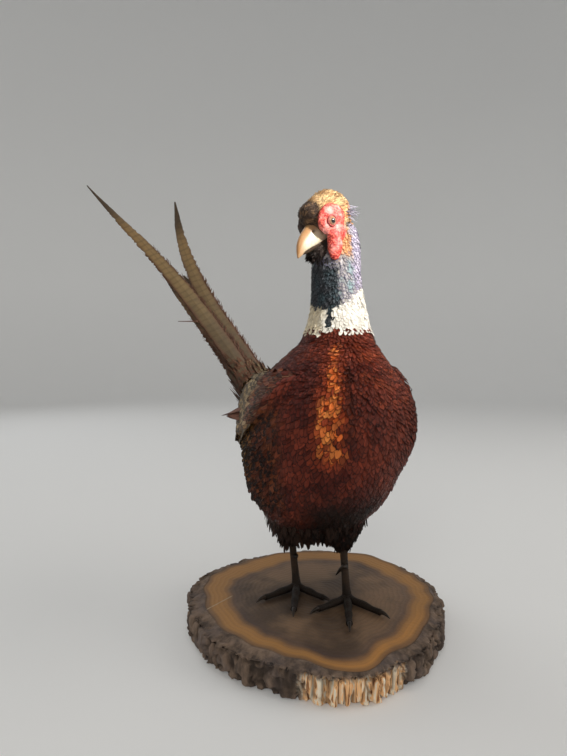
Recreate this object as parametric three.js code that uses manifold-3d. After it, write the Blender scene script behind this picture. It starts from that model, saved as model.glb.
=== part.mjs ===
// A mounted cock pheasant standing on a bark-edged slice of tree trunk.
// Millimetres, +Z up. The origin is the centre of the slice's flat underside,
// and the trunk of the bird faces -Y, so its right side is -X.

import * as THREE from 'three';
import { mergeVertices } from 'three/addons/utils/BufferGeometryUtils.js';
import Module from 'manifold-3d';

const wasm = await Module();
wasm.setup();

// ---------------------------------------------------------------- driving dimensions

const GAP = 0.3;                 // air between neighbouring pieces

const SLICE_THICKNESS = 27;
const SLICE_WIDTH = 268;
const SLICE_LENGTH = 290;
const SLICE_LOBE = 11;           // how far the front lobe stands out
const SLICE_LOBE_AT = 256;       // degrees from +X
const SLICE_TURN = 18;           // degrees from +Y to the long axis, towards +X

const BELLY_HEIGHT = 84;         // lowest feathers of the belly above the floor
const COLLAR_BOTTOM = 294;
const COLLAR_TOP = 328;
const NECK_TOP = 408;

const HEAD_CENTRE = [-3.5, -24, 402];
const HEAD_TURN = 74;            // degrees to the bird's right of the trunk's heading
const HEAD_PITCH = 38;           // degrees that the bill points down
const FACE_FRONT = -20;          // y of the face and of the back of the head from the head's centre
const HEAD_BACK = 31;
const BILL_LENGTH = 32;          // past the feathers, along the ridge's chord
const EYE_RADIUS = 5.4;

const RIGHT_FOOT = [-13, 17];
const LEFT_FOOT = [22, -29];
const FOOT_TURN = 26;            // degrees that the middle toes point to the bird's right
const TOE_DEPTH = 7;
const SHANK_RADIUS = 4;

const TAIL_ROOT = [14, 108, 191];
const TAIL_TURN = 20;            // degrees from +Y to the tail, towards the bird's right
const TAIL_RISE = 39;            // degrees above the horizontal at the root
const TAIL_LONGEST = 520;
const TAIL_CURL_REACH = 484;     // the distance from the root at which a feather has its full curl
const TAIL_ROLL = 38;            // degrees that the vanes lean down on the bird's right
const TAIL_LAYER = 2;            // one feather lies this far under the next

// ---------------------------------------------------------------- tools for closed shapes

const radians = THREE.MathUtils.degToRad;
const vector = (x, y, z) => new THREE.Vector3(x, y, z);

// A smooth curve through rows of numbers: rows[i][0] is the station, the rest are values.
function smooth(rows) {
  const slopes = rows.map((row, i) => {
    const before = rows[Math.max(i - 1, 0)];
    const after = rows[Math.min(i + 1, rows.length - 1)];
    return row.map((value, k) => (after[k] - before[k]) / (after[0] - before[0]));
  });
  return (station) => {
    let i = 0;
    while (i < rows.length - 2 && station > rows[i + 1][0]) i += 1;
    const [low, high] = [rows[i], rows[i + 1]];
    const span = high[0] - low[0];
    const t = THREE.MathUtils.clamp((station - low[0]) / span, 0, 1);
    const t2 = t * t;
    const t3 = t2 * t;
    return low.slice(1).map((value, k) =>
      (2 * t3 - 3 * t2 + 1) * value + (t3 - 2 * t2 + t) * span * slopes[i][k + 1]
      + (3 * t2 - 2 * t3) * high[k + 1] + (t3 - t2) * span * slopes[i + 1][k + 1]);
  };
}

// A closed skin over rings of points, with each end drawn to its own middle.
function loft(rings) {
  const count = rings[0].length;
  const middle = (ring) => ring.reduce((sum, p) => sum.add(p), vector(0, 0, 0)).divideScalar(count);
  const points = [...rings.flat(), middle(rings[0]), middle(rings.at(-1))];
  const first = rings.length * count;
  const faces = [];
  for (let j = 0; j < count; j += 1) {
    const next = (j + 1) % count;
    for (let i = 0; i < rings.length - 1; i += 1) {
      const a = i * count;
      const b = a + count;
      faces.push(a + j, a + next, b + next, a + j, b + next, b + j);
    }
    const last = first - count;
    faces.push(first, next, j, first + 1, last + j, last + next);
  }
  const geometry = new THREE.BufferGeometry();
  geometry.setAttribute('position', new THREE.Float32BufferAttribute(points.flatMap((p) => p.toArray()), 3));
  geometry.setIndex(faces);
  return outward(geometry);
}

function signedVolume(geometry) {
  const position = geometry.getAttribute('position');
  const index = geometry.getIndex();
  const corner = (i) => vector().fromBufferAttribute(position, index.getX(i));
  let volume = 0;
  for (let i = 0; i < index.count; i += 3) volume += corner(i).dot(corner(i + 1).cross(corner(i + 2)));
  return volume;
}

function outward(geometry) {
  if (signedVolume(geometry) < 0) {
    const index = geometry.getIndex();
    for (let i = 0; i < index.count; i += 3) {
      const kept = index.getX(i);
      index.setX(i, index.getX(i + 1));
      index.setX(i + 1, kept);
    }
  }
  return geometry;
}

function solid(geometry) {
  const bare = geometry.clone();
  bare.deleteAttribute('normal');
  bare.deleteAttribute('uv');
  const merged = mergeVertices(bare, 1e-4);
  return new wasm.Manifold(new wasm.Mesh({
    numProp: 3,
    vertProperties: new Float32Array(merged.getAttribute('position').array),
    triVerts: new Uint32Array(merged.getIndex().array),
  }));
}

function geometryOf(body) {
  const mesh = body.getMesh();
  const geometry = new THREE.BufferGeometry();
  geometry.setAttribute('position', new THREE.Float32BufferAttribute(mesh.vertProperties, 3));
  geometry.setIndex(Array.from(mesh.triVerts));
  return geometry;
}

// The largest piece that is left of a body after others have been cut out of it.
function cut(geometry, ...others) {
  const left = others.reduce((body, other) => body.subtract(solid(other)), solid(geometry));
  const pieces = left.decompose();
  pieces.sort((a, b) => b.volume() - a.volume());
  return geometryOf(pieces[0]);
}

function ellipsoid(centre, radii, grow = 0, detail = 20) {
  const geometry = new THREE.SphereGeometry(1, detail, Math.round(detail * 0.6));
  geometry.scale(...radii.map((radius) => radius + grow));
  geometry.translate(...centre);
  return geometry;
}

function material(colour, roughness, metalness = 0) {
  return new THREE.MeshStandardMaterial({ color: colour, roughness, metalness });
}

const pheasant = new THREE.Group();

function add(name, geometry, finish, parent = pheasant) {
  const mesh = new THREE.Mesh(geometry, finish);
  mesh.name = name;
  parent.add(mesh);
  return mesh;
}

// ---------------------------------------------------------------- the tree slice

const BARK_SIDES = 96;

// The rim swells, waves and has one lobe at the front and a flatter back.
function rimRadius(angle) {
  const along = angle - radians(90 - SLICE_TURN);
  const oval = 1 / Math.hypot(Math.cos(along) / (SLICE_LENGTH / 2), Math.sin(along) / (SLICE_WIDTH / 2));
  const waves = 2.2 * Math.sin(3 * angle + 0.6) + 1.6 * Math.sin(5 * angle + 2.1);
  const furrows = 1.3 * Math.sin(19 * angle + 2 * Math.sin(3 * angle));
  const lobe = SLICE_LOBE * Math.exp(-(((angle - radians(SLICE_LOBE_AT)) / 0.3) ** 2));
  return oval + waves + furrows + lobe - 3;
}

function treeSlice() {
  // height and how far the bark stands in from the rim there
  const levels = [[0, 4], [5, 0.5], [20, 0.5], [SLICE_THICKNESS, 4]];
  const rings = levels.map(([height, inset]) => {
    const ring = [];
    for (let k = 0; k < BARK_SIDES; k += 1) {
      const angle = (k / BARK_SIDES) * 2 * Math.PI;
      const knot = 1.2 * Math.sin(height / 5 + 9 * angle);
      const radius = rimRadius(angle) - inset + (inset < 1 ? knot : 0);
      ring.push(vector(radius * Math.cos(angle), radius * Math.sin(angle), height));
    }
    return ring;
  });
  return loft(rings);
}

add('tree_slice', treeSlice(), material(0x7a5636, 0.85));

// ---------------------------------------------------------------- trunk and neck

// Height, foremost y, rearmost y, half width, y of the widest place, x of the middle.
const bodyAt = smooth([
  [BELLY_HEIGHT, 6, 30, 16, 16, 7],
  [90, -12, 54, 33, 14, 7],
  [104, -36, 84, 51, 8, 7],
  [128, -62, 106, 66, 0, 8],
  [162, -84, 124, 76, -6, 9],
  [198, -94, 132, 79.5, -10, 10],
  [226, -92, 124, 76, -12, 11],
  [250, -82, 96, 63, -14, 13],
  [270, -69, 60, 47, -15, 15],
  [284, -57, 34, 36.5, -16, 17],
  [COLLAR_BOTTOM, -51, 22, 33, -16, 17],
  [312, -46, 14, 29.5, -16, 17],
  [COLLAR_TOP, -43, 10, 27, -16, 16],
  [350, -40, 6, 25.5, -16, 14.5],
  [372, -38, 4, 25, -17, 14.5],
  [386, -36, 2, 23.5, -17, 14.5],
  [398, -33, 0, 20, -17, 13.5],
  [NECK_TOP, -26, -8, 10, -17, 11],
]);

const BODY_SIDES = 28;

function bodyRing(height, grow = 0) {
  const [front, back, half, widest, middle] = bodyAt(height);
  const ring = [];
  for (let k = 0; k < BODY_SIDES; k += 1) {
    const angle = (k / BODY_SIDES) * 2 * Math.PI;
    const ahead = Math.cos(angle) > 0;
    const reach = ahead ? widest - front : back - widest;
    const taper = ahead ? 1 : 1 - 0.16 * Math.cos(angle) ** 2;
    ring.push(vector(
      middle + (half * taper + grow) * Math.sin(angle),
      widest - (reach + grow) * Math.cos(angle),
      height,
    ));
  }
  return ring;
}

function bodyLength(from, to, steps, grow = 0) {
  const rings = [];
  for (let i = 0; i <= steps; i += 1) {
    rings.push(bodyRing(THREE.MathUtils.lerp(from, to, i / steps), grow));
  }
  return loft(rings);
}

const trunk = bodyLength(BELLY_HEIGHT, COLLAR_BOTTOM - GAP / 2, 17);
const grownTrunk = bodyLength(BELLY_HEIGHT - GAP, COLLAR_BOTTOM, 17, GAP);
const plumage = {
  chestnut: material(0x6e2a12, 0.55),
  flank: material(0x8a5a26, 0.6),
  dark: material(0x241712, 0.7),
  collar: material(0xe9e4d6, 0.8),
  neck: material(0x1c2a30, 0.4),
  crown: material(0x5b4a30, 0.6),
  wing: material(0x8f7a58, 0.65),
  tail: material(0x8a7142, 0.6),
};

add('collar', bodyLength(COLLAR_BOTTOM + GAP / 2, COLLAR_TOP - GAP / 2, 3), plumage.collar);

// ---------------------------------------------------------------- head, in its own turned frame

const headFrame = new THREE.Group();
headFrame.position.set(...HEAD_CENTRE);
headFrame.rotation.set(radians(HEAD_PITCH), 0, radians(-HEAD_TURN), 'ZXY');
headFrame.updateMatrix();
pheasant.add(headFrame);

// y along the head (the bill points to -y), top, bottom and half width of the skull's plumage.
const skullAt = smooth([
  [FACE_FRONT, 11, -16, 9],
  [-15, 19, -21, 13],
  [-8, 22.5, -24, 16],
  [2, 23.5, -25, 17.5],
  [14, 22.5, -23, 17.5],
  [23, 17.5, -18, 14.5],
  [HEAD_BACK, 9, -8, 8],
]);

function headLoft(stations, sectionAt, sides) {
  return loft(stations.map((y) => {
    const [top, bottom, half] = sectionAt(y);
    const ring = [];
    for (let k = 0; k < sides; k += 1) {
      const angle = (k / sides) * 2 * Math.PI;
      const middle = (top + bottom) / 2;
      ring.push(vector(half * Math.sin(angle), y, middle + ((top - bottom) / 2) * Math.cos(angle)));
    }
    return ring;
  }));
}

// Half of a bill: domed towards its ridge and flat along the cutting edge.
function billLoft(stations, sectionAt, ridge) {
  const sides = 10;
  return loft(stations.map((y) => {
    const [top, bottom, half] = sectionAt(y);
    const edge = ridge > 0 ? bottom : top;
    return Array.from({ length: sides }, (_, k) => {
      const angle = (k / sides) * 2 * Math.PI;
      const dome = ridge * (top - bottom) * Math.max(Math.cos(angle), 0);
      return vector(half * Math.sin(angle), y, edge + dome);
    });
  }));
}

function spread(from, to, steps) {
  return Array.from({ length: steps + 1 }, (_, i) => THREE.MathUtils.lerp(from, to, i / steps));
}

function skull(grow = 0) {
  const stations = spread(FACE_FRONT, HEAD_BACK, 8);
  const middle = (FACE_FRONT + HEAD_BACK) / 2;
  const long = (HEAD_BACK - FACE_FRONT + 2 * grow) / (HEAD_BACK - FACE_FRONT);
  const grown = (y) => {
    const [top, bottom, half] = skullAt(y);
    return [top + grow, bottom - grow, half + grow];
  };
  const geometry = headLoft(stations, grown, 18);
  geometry.translate(0, -middle, 0).scale(1, long, 1).translate(0, middle, 0);
  const forehead = ellipsoid([0, -12, 12], [12, 12, 11], grow, 12);
  const chin = ellipsoid([0, -19, -20.5], [10, 17, 8], grow, 12);
  return geometryOf(solid(geometry).add(solid(forehead)).add(solid(chin)));
}

const eyePlace = (side) => [side * 16.8, -8, -0.7];
const eyeball = (side, grow = 0) => ellipsoid(eyePlace(side), [EYE_RADIUS, EYE_RADIUS, EYE_RADIUS], grow, 12);

// The upper bill: a hooked beak whose ridge falls in an arc past the lower one.
const BILL_START = FACE_FRONT + 7;
const BILL_TIP = FACE_FRONT + 3 - BILL_LENGTH;
const LOWER_BILL_TIP = BILL_TIP + 8;
const upperBillAt = smooth([
  [BILL_TIP, -11.6, -12.8, 0.7],
  [BILL_TIP + 3.5, -6, -12.3, 2.6],
  [BILL_TIP + 8, -1.5, -11, 4.2],
  [BILL_TIP + 14, 2, -11.2, 5.8],
  [BILL_TIP + 22, 4.5, -12.2, 7.6],
  [BILL_START, 7.5, -13.5, 10],
]);
const lowerBillAt = smooth([
  [LOWER_BILL_TIP, -12.2, -13.8, 1.6],
  [LOWER_BILL_TIP + 5, -11.4, -15.4, 3.4],
  [LOWER_BILL_TIP + 13, -12.2, -17, 5.6],
  [BILL_START, -14, -19.5, 8.5],
]);

const bill = {
  upper: { sectionAt: upperBillAt, tip: BILL_TIP, steps: 7, ridge: 1 },
  lower: { sectionAt: lowerBillAt, tip: LOWER_BILL_TIP, steps: 4, ridge: -1 },
};

function billPart({ sectionAt, tip, steps, ridge }, grow = 0) {
  const grown = (y) => {
    const [top, bottom, half] = sectionAt(y);
    return [top + grow, bottom - grow, half + grow];
  };
  return billLoft(spread(tip, BILL_START, steps), grown, ridge);
}

// The bare red face: a broad disc round the eye and a lobe that hangs below its rear half.
function wattle(side, grow = 0) {
  const disc = ellipsoid([side * 14.6, -4, -1], [6.6, 17, 15], grow, 14);
  const lobe = ellipsoid([0, 0, 0], [6, 8.5, 16], grow, 10);
  lobe.rotateX(radians(-HEAD_PITCH)).translate(side * 14, -13, -21);
  return geometryOf(solid(disc).add(solid(lobe)));
}

// The little tuft of long feathers that points back and out from behind the face.
function earTuft(side, grow = 0) {
  const tuft = new THREE.ConeGeometry(4 + grow, 22 + 2 * grow, 8, 1);
  tuft.scale(0.7, 1, 1);
  tuft.rotateZ(radians(-side * 22));
  tuft.rotateX(radians(-38));
  tuft.translate(side * 14.3, 20.3, -6.5);
  return tuft;
}

const grownSkull = skull(GAP);
const upperBill = cut(billPart(bill.upper), grownSkull);
const lowerBill = cut(billPart(bill.lower), grownSkull, billPart(bill.upper, GAP));
const wattles = [-1, 1].map((side) => cut(wattle(side), grownSkull, eyeball(side, GAP)));
const head = cut(skull(), eyeball(-1, GAP), eyeball(1, GAP));
const sideName = (side) => (side < 0 ? 'right' : 'left');

add('head', head, plumage.crown, headFrame);
add('upper_bill', upperBill, material(0xd9c49a, 0.35), headFrame);
add('lower_bill', lowerBill, material(0xc9b083, 0.4), headFrame);
[-1, 1].forEach((side, i) => {
  add(`wattle_${sideName(side)}`, wattles[i], material(0xc8281f, 0.6), headFrame);
  add(`eye_${sideName(side)}`, eyeball(side), material(0x5a2c0c, 0.05), headFrame);
  const tuft = cut(earTuft(side), grownSkull, wattle(side, GAP));
  add(`ear_tuft_${sideName(side)}`, tuft, material(0x3a3a46, 0.6), headFrame);
});

const inRow = (geometry) => geometry.clone().applyMatrix4(headFrame.matrix);
const neck = cut(
  bodyLength(COLLAR_TOP + GAP / 2, NECK_TOP, 4),
  inRow(grownSkull), inRow(wattle(-1, GAP)), inRow(wattle(1, GAP)),
  inRow(billPart(bill.lower, GAP)), inRow(eyeball(-1, GAP)), inRow(eyeball(1, GAP)),
  inRow(earTuft(-1, GAP)), inRow(earTuft(1, GAP)),
);
add('neck', neck, plumage.neck);

// ---------------------------------------------------------------- tubes along a bent path

// Rings round a path; each station is [x, y, z, half width, half thickness].
function limb(stations, sides, grow = 0) {
  const points = stations.map(([x, y, z]) => vector(x, y, z));
  return loft(points.map((point, i) => {
    const ahead = points[Math.min(i + 1, points.length - 1)];
    const behind = points[Math.max(i - 1, 0)];
    const along = ahead.clone().sub(behind).normalize();
    const hint = Math.abs(along.z) > 0.8 ? vector(0, 1, 0) : vector(0, 0, 1);
    const across = along.clone().cross(hint).normalize();
    const normal = across.clone().cross(along);
    const [, , , wide, thick] = stations[i];
    return Array.from({ length: sides }, (_, k) => {
      const angle = (k / sides) * 2 * Math.PI;
      return point.clone()
        .addScaledVector(across, (wide + grow) * Math.cos(angle))
        .addScaledVector(normal, (thick + grow) * Math.sin(angle));
    });
  }));
}

// ---------------------------------------------------------------- legs

const TOE_SPREADS = { inner: 48, middle: 0, outer: -46 };
const TOE_LENGTHS = { inner: 38, middle: 54, outer: 42 };
const CLAW_LENGTH = 11;

function legParts(side) {
  const name = sideName(side);
  const [x, y] = side < 0 ? RIGHT_FOOT : LEFT_FOOT;
  const sole = SLICE_THICKNESS + GAP;
  const knuckle = [x, y, sole + TOE_DEPTH / 2 + 1.2];
  const shankTop = [x + 2 * side + 4, y + 24, BELLY_HEIGHT + 22];
  const skin = material(0x4b4238, 0.6);
  const horn = material(0x2b2622, 0.4);

  const heading = (spreadAngle) => {
    const turn = radians(FOOT_TURN + side * spreadAngle);
    return [-Math.sin(turn), -Math.cos(turn)];
  };
  const toe = (length, angle, grow = 0) => {
    const [hx, hy] = heading(angle);
    const at = (t, height, wide, thick) =>
      [x + hx * length * t, y + hy * length * t, sole + height, wide, thick];
    return limb([at(-0.08, 4.6, 4, 4), at(0.3, 4.2, 3.9, 3.7), at(0.7, 3.6, 3.3, 3.3), at(1, 3, 2.4, 2.6)], 7, grow);
  };
  const claw = (length, angle) => {
    const [hx, hy] = heading(angle);
    const at = (t, height, radius) =>
      [x + hx * (length + t), y + hy * (length + t), sole + height, radius, radius];
    return limb([at(GAP, 3.1, 2), at(0.5 * CLAW_LENGTH, 2.9, 1.5), at(CLAW_LENGTH, 0.9, 0.4)], 6);
  };
  const hindHeading = heading(0).map((value) => -value);
  const hindAt = (t, height, radius) =>
    [x + hindHeading[0] * t, y + hindHeading[1] * t, sole + height, radius, radius];
  const hindToe = limb([hindAt(0, 3.6, 3), hindAt(6, 6, 2.8), hindAt(10, 7.4, 2.4), hindAt(14, 7.4, 1.9)], 7);
  const hindClaw = limb([hindAt(14 + GAP, 7.3, 1.5), hindAt(17, 6.9, 1.5), hindAt(21, 4.6, 1.1), hindAt(24, 1.6, 0.5)], 6);

  const shankStations = (grow = 0) => limb([
    [x, y + 1, knuckle[2] + 3, SHANK_RADIUS + 0.6, SHANK_RADIUS + 0.6],
    [x, y + 3, sole + 16, SHANK_RADIUS, SHANK_RADIUS + 0.4],
    [(x + shankTop[0]) / 2, (y + shankTop[1]) / 2 + 1, (sole + shankTop[2]) / 2 + 3, SHANK_RADIUS, SHANK_RADIUS],
    [...shankTop, SHANK_RADIUS + 0.6, SHANK_RADIUS + 0.8],
  ], 10, grow);

  const angles = Object.values(TOE_SPREADS);
  const lengths = Object.values(TOE_LENGTHS);
  let foot = solid(ellipsoid(knuckle, [6.6, 7, TOE_DEPTH / 2 + 1.1], 0, 10)).add(solid(hindToe));
  lengths.forEach((length, i) => {
    foot = foot.add(solid(toe(length, angles[i])));
  });
  const footGeometry = cut(geometryOf(foot), shankStations(GAP));
  add(`foot_${name}`, footGeometry, skin);
  Object.keys(TOE_LENGTHS).forEach((key, i) => {
    add(`claw_${key}_${name}`, claw(lengths[i], angles[i]), horn);
  });
  add(`claw_hind_${name}`, hindClaw, horn);

  const thigh = (grow = 0) => limb([
    [x + 2 * side + 1, y + 17, BELLY_HEIGHT - 10, 8, 8],
    [x + 2 * side + 2, y + 19, BELLY_HEIGHT - 2, 13, 14],
    [x + 2 * side + 3, y + 22, BELLY_HEIGHT + 12, 19, 22],
    [x + 3 * side + 4, y + 24, BELLY_HEIGHT + 32, 24, 30],
    [x + 4 * side + 4, y + 26, BELLY_HEIGHT + 56, 22, 30],
  ], 12, grow);
  add(`shank_${name}`, cut(shankStations(), thigh(GAP), grownTrunk), skin);

  const spur = limb([
    [x + 1, y + 5, sole + 34, 3, 3],
    [x + 1 - 2.5 * side, y + 11, sole + 29, 2.1, 2.1],
    [x + 1 - 6 * side, y + 15, sole + 22, 0.5, 0.5],
  ], 8);
  add(`spur_${name}`, cut(spur, shankStations(GAP)), horn);
  return thigh;
}

const thighs = [-1, 1].map(legParts);

// ---------------------------------------------------------------- wings, folded on the trunk

// The y of the trunk's side at a height and how far it bulges there.
function sideOfTrunk(y, height) {
  const [front, back, half, widest] = bodyAt(height);
  const reach = y < widest ? widest - front : back - widest;
  const along = THREE.MathUtils.clamp((y - widest) / reach, -0.999, 0.999);
  const taper = y < widest ? 1 : 1 - 0.16 * along ** 2;
  return half * taper * Math.sqrt(1 - along ** 2);
}

// Along the folded wing: y, height, half depth, thickness.
const wingAt = smooth([
  [0, -48, 250, 9, 3],
  [0.14, -34, 243, 20, 5.5],
  [0.36, 0, 228, 32, 6.5],
  [0.6, 42, 213, 33, 6.5],
  [0.82, 88, 200, 24, 6.5],
  [1, 132, 196, 10, 5],
]);

function wing(side) {
  const rings = spread(0, 1, 9).map((t) => {
    const [y, height, depth, thickness] = wingAt(t);
    const reach = sideOfTrunk(y, height);
    const above = sideOfTrunk(y, height + 12);
    const below = sideOfTrunk(y, height - 12);
    const up = vector(side * (above - below), 0, 24).normalize();
    const out = vector(side * up.z, 0, -side * up.x);
    const centre = vector(bodyAt(height)[4] + side * Math.max(reach, 14), y, height);
    return Array.from({ length: 12 }, (_, k) => {
      const angle = (k / 12) * 2 * Math.PI;
      return centre.clone()
        .addScaledVector(up, depth * Math.cos(angle))
        .addScaledVector(out, thickness * Math.sin(angle));
    });
  });
  return loft(rings);
}

// ---------------------------------------------------------------- tail

// A feather's middle line leaves the root and bends more and more towards its tip.
function featherPath({ length, fan, sweep, lift, curl = 2, layer, beside }, steps) {
  const point = vector(...TAIL_ROOT);
  const path = [];
  for (let i = 0; i <= steps; i += 1) {
    const t = i / steps;
    const reach = (t * length) / TAIL_CURL_REACH;
    const turn = radians(TAIL_TURN + fan + sweep * reach ** curl);
    const rise = radians(TAIL_RISE + lift * reach ** curl);
    const along = vector(-Math.sin(turn) * Math.cos(rise), Math.cos(turn) * Math.cos(rise), Math.sin(rise));
    const roll = radians(TAIL_ROLL * Math.min(1, 0.4 + 2 * reach));
    const level = vector(Math.cos(turn), Math.sin(turn), 0);
    const across = level.applyAxisAngle(along, -roll);
    const normal = across.clone().cross(along);
    const quill = point.clone()
      .addScaledVector(normal, -layer * TAIL_LAYER)
      .addScaledVector(across, beside * Math.min(1, 5 * reach));
    path.push({ t, point: quill, across, normal });
    point.addScaledVector(along, length / steps);
  }
  return path;
}

const VANE_EDGE = 0.35;          // half the thickness of a vane at its edge
const QUILL_HALF = 0.7;

function tailFeather(feather, grow = 0) {
  const steps = 10;
  const halfWidth = smooth([[0, 5], [0.12, 10], [0.35, feather.half], [0.7, feather.half * 0.86],
    [0.9, feather.half * 0.52], [1, 1.4]]);
  return loft(featherPath(feather, steps).map(({ t, point, across, normal }) => {
    const half = halfWidth(t)[0] + grow;
    const droop = half * 0.1;
    const spot = (u, v) => point.clone().addScaledVector(across, u).addScaledVector(normal, v);
    return [
      spot(-half, -droop - VANE_EDGE - grow), spot(0, -QUILL_HALF - grow), spot(half, -droop - VANE_EDGE - grow),
      spot(half, -droop + VANE_EDGE + grow), spot(0, QUILL_HALF + grow), spot(-half, -droop + VANE_EDGE + grow),
    ];
  }));
}

const tailFeathers = {
  tail_central_right: {
    length: TAIL_LONGEST, fan: -2.2, sweep: 61, lift: 6, curl: 3, layer: -1.7, half: 12.5, beside: -7,
  },
  tail_central_left: { length: 446, fan: -1.4, sweep: -30, lift: 45, curl: 3, layer: 0.3, half: 12, beside: 7 },
};
for (let pair = 1; pair <= 4; pair += 1) {
  const shared = { length: TAIL_CURL_REACH * (0.8 - 0.13 * pair), lift: -2 * pair, half: 11 };
  tailFeathers[`tail_side_${pair}_right`] = {
    ...shared, fan: 0.4 * pair, sweep: 14 - 2 * pair, layer: 1.4 + pair, beside: -6.5 - 1.2 * pair,
  };
  tailFeathers[`tail_side_${pair}_left`] = {
    ...shared, fan: -0.5 * pair, sweep: -4 - 2 * pair, layer: 5.4 + pair, beside: 6.5 + 1.2 * pair,
  };
}

// Rump and tail coverts: a cone of plumage that hides the roots of the tail feathers.
function alongTail(distance, wide, thick, drop = 0) {
  const turn = radians(TAIL_TURN);
  const rise = radians(TAIL_RISE);
  return [
    TAIL_ROOT[0] - Math.sin(turn) * Math.cos(rise) * distance,
    TAIL_ROOT[1] + Math.cos(turn) * Math.cos(rise) * distance,
    TAIL_ROOT[2] + Math.sin(rise) * distance - drop,
    wide, thick,
  ];
}

const covertsShape = (grow = 0) => limb([
  alongTail(-40, 38, 38, 4), alongTail(-6, 38, 36, 7), alongTail(26, 33, 28, 9), alongTail(58, 27, 21, 9),
  alongTail(88 + grow, 20, 14, 8),
], 16, grow);

add('tail_coverts', cut(covertsShape(), grownTrunk), plumage.flank);
const grownCoverts = covertsShape(GAP);
for (const [name, feather] of Object.entries(tailFeathers)) {
  add(name, cut(tailFeather(feather), grownTrunk, grownCoverts), plumage.tail);
}

// ---------------------------------------------------------------- trunk, thighs and wings, cut to meet

add('trunk', trunk, plumage.chestnut);
[-1, 1].forEach((side, i) => {
  add(`thigh_${sideName(side)}`, cut(thighs[i](), grownTrunk), plumage.dark);
  add(`wing_${sideName(side)}`, cut(wing(side), grownTrunk, grownCoverts), plumage.wing);
});

export default pheasant;
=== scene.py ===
import math

import bmesh
import bpy
import numpy as np
from mathutils import Euler, Matrix, Vector, noise
from mathutils.bvhtree import BVHTree
from mathutils.kdtree import KDTree


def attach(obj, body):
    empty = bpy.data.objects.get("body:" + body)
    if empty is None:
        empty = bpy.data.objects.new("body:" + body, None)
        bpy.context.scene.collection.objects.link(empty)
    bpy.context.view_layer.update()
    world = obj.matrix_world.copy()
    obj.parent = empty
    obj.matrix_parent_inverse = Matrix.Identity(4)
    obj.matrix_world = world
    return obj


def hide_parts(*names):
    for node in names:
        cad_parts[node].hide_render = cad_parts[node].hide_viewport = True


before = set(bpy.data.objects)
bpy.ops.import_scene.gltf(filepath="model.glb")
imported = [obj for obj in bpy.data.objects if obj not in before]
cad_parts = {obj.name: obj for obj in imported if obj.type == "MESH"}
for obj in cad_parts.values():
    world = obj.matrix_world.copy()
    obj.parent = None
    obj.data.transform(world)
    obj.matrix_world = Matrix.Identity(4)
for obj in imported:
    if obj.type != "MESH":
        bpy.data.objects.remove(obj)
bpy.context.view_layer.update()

bl_info = {
    "name": "Mounted Pheasant",
    "version": (1, 0, 0),
    "blender": (4, 5, 0),
    "location": "View3D > Sidebar > Pheasant",
    "description": "Dresses a mounted cock pheasant on its slice of tree trunk",
    "category": "Object",
}

MM = 0.001
TURN = 2 * math.pi

# ---------------------------------------------------------------- the bird's shape, in millimetres

SLICE_THICKNESS = 27
SLICE_WIDTH = 268
SLICE_LENGTH = 290
SLICE_LOBE = 11
SLICE_LOBE_AT = 256
SLICE_TURN = 18
SLICE_COLUMNS = 600
SIDE_RING = 1.2
BARK_SEED = 12
# the upright band at the bark's front where it splits into ribs; the wood's shader also paints a strip of
# sunlight on it
SPLIT_ACROSS = (0.927, -0.375)
SPLIT_AT = 23.6

BELLY_HEIGHT = 84
COLLAR_BOTTOM = 294
COLLAR_TOP = 328
NECK_TOP = 408

HEAD_CENTRE = (-3.5, -24, 402)
HEAD_TURN = 74
HEAD_PITCH = 38
FACE_FRONT = -20
HEAD_BACK = 31
BILL_LENGTH = 32
BILL_START = FACE_FRONT + 7
BILL_TIP = FACE_FRONT + 3 - BILL_LENGTH
LOWER_BILL_TIP = BILL_TIP + 8
NOSTRIL_Y = BILL_START - 9
EYE_RADIUS = 5.4
EYE_AT = (-8, -0.7)
CORNEA_ANGLE = 50

RIGHT_FOOT = (-13, 17)
LEFT_FOOT = (22, -29)
FOOT_TURN = 26
TOE_DEPTH = 7
SHANK_RADIUS = 4
TOE_SPREADS = {"inner": 48, "middle": 0, "outer": -46}
TOE_LENGTHS = {"inner": 38, "middle": 54, "outer": 42}
CLAW_STATIONS = ((-1.0, 3.2, 2.3), (3.0, 3.6, 1.9), (7.0, 2.7, 1.3), (11, 0.8, 0.35))
SOLE = SLICE_THICKNESS + 0.3
RUFFLED_AT = (-69, 31, 215)
RUFFLED_REACH = (-18, 14, -5)
RUFFLED_RADIUS = 8.5
WING_ROWS = 60
WING_COLUMNS = 64
LOOSE_BARB = {"feather": "tail_central_right", "at": 0.406, "length": 27, "towards": (-0.927, 0.375, 0)}

TAIL_ROOT = (14, 108, 191)
TAIL_TURN = 20
TAIL_RISE = 39
TAIL_LONGEST = 520
TAIL_CURL_REACH = 484
TAIL_ROLL = 38
TAIL_LAYER = 2

FLESH = (
    "trunk", "collar", "neck", "head", "thigh_right", "thigh_left",
    "wing_right", "wing_left", "tail_coverts",
)
SIDES = {-1: "right", 1: "left"}


class Spread:
    """Numbers that change evenly with height or with the way along the bird."""

    def __init__(self, places, numbers):
        self.places = places
        self.numbers = numbers

    def at(self, place):
        return np.interp(place, self.places, self.numbers)


SKIN_VOXEL = 2.2
BODY_PITCH = 0.29
WATTLE_VOXEL = 0.55
BODY_VANES = Spread((84, 120, 170, 225, 262, 300), (13.5, 14.5, 14, 13, 10.5, 8.5))
NECK_PITCHES = Spread((290, 330, 400), (2.6, 2.4, 2.2))
NECK_VANES = Spread((290, 330, 400), (9, 8, 7))
NECK_LIFTS = Spread((298, 312), (3.0, 1.7))
THIGH_VANES = Spread((74, 84, 120), (10, 13, 17))
WING_VANES = Spread((-48, 0, 80, 132), (12.5, 16, 23, 20))
WING_LIFTS = Spread((-40, 30), (1.0, 2.6))
RUMP_VANES = Spread((-40, 0, 60, 90), (18, 24, 34, 30))


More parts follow.
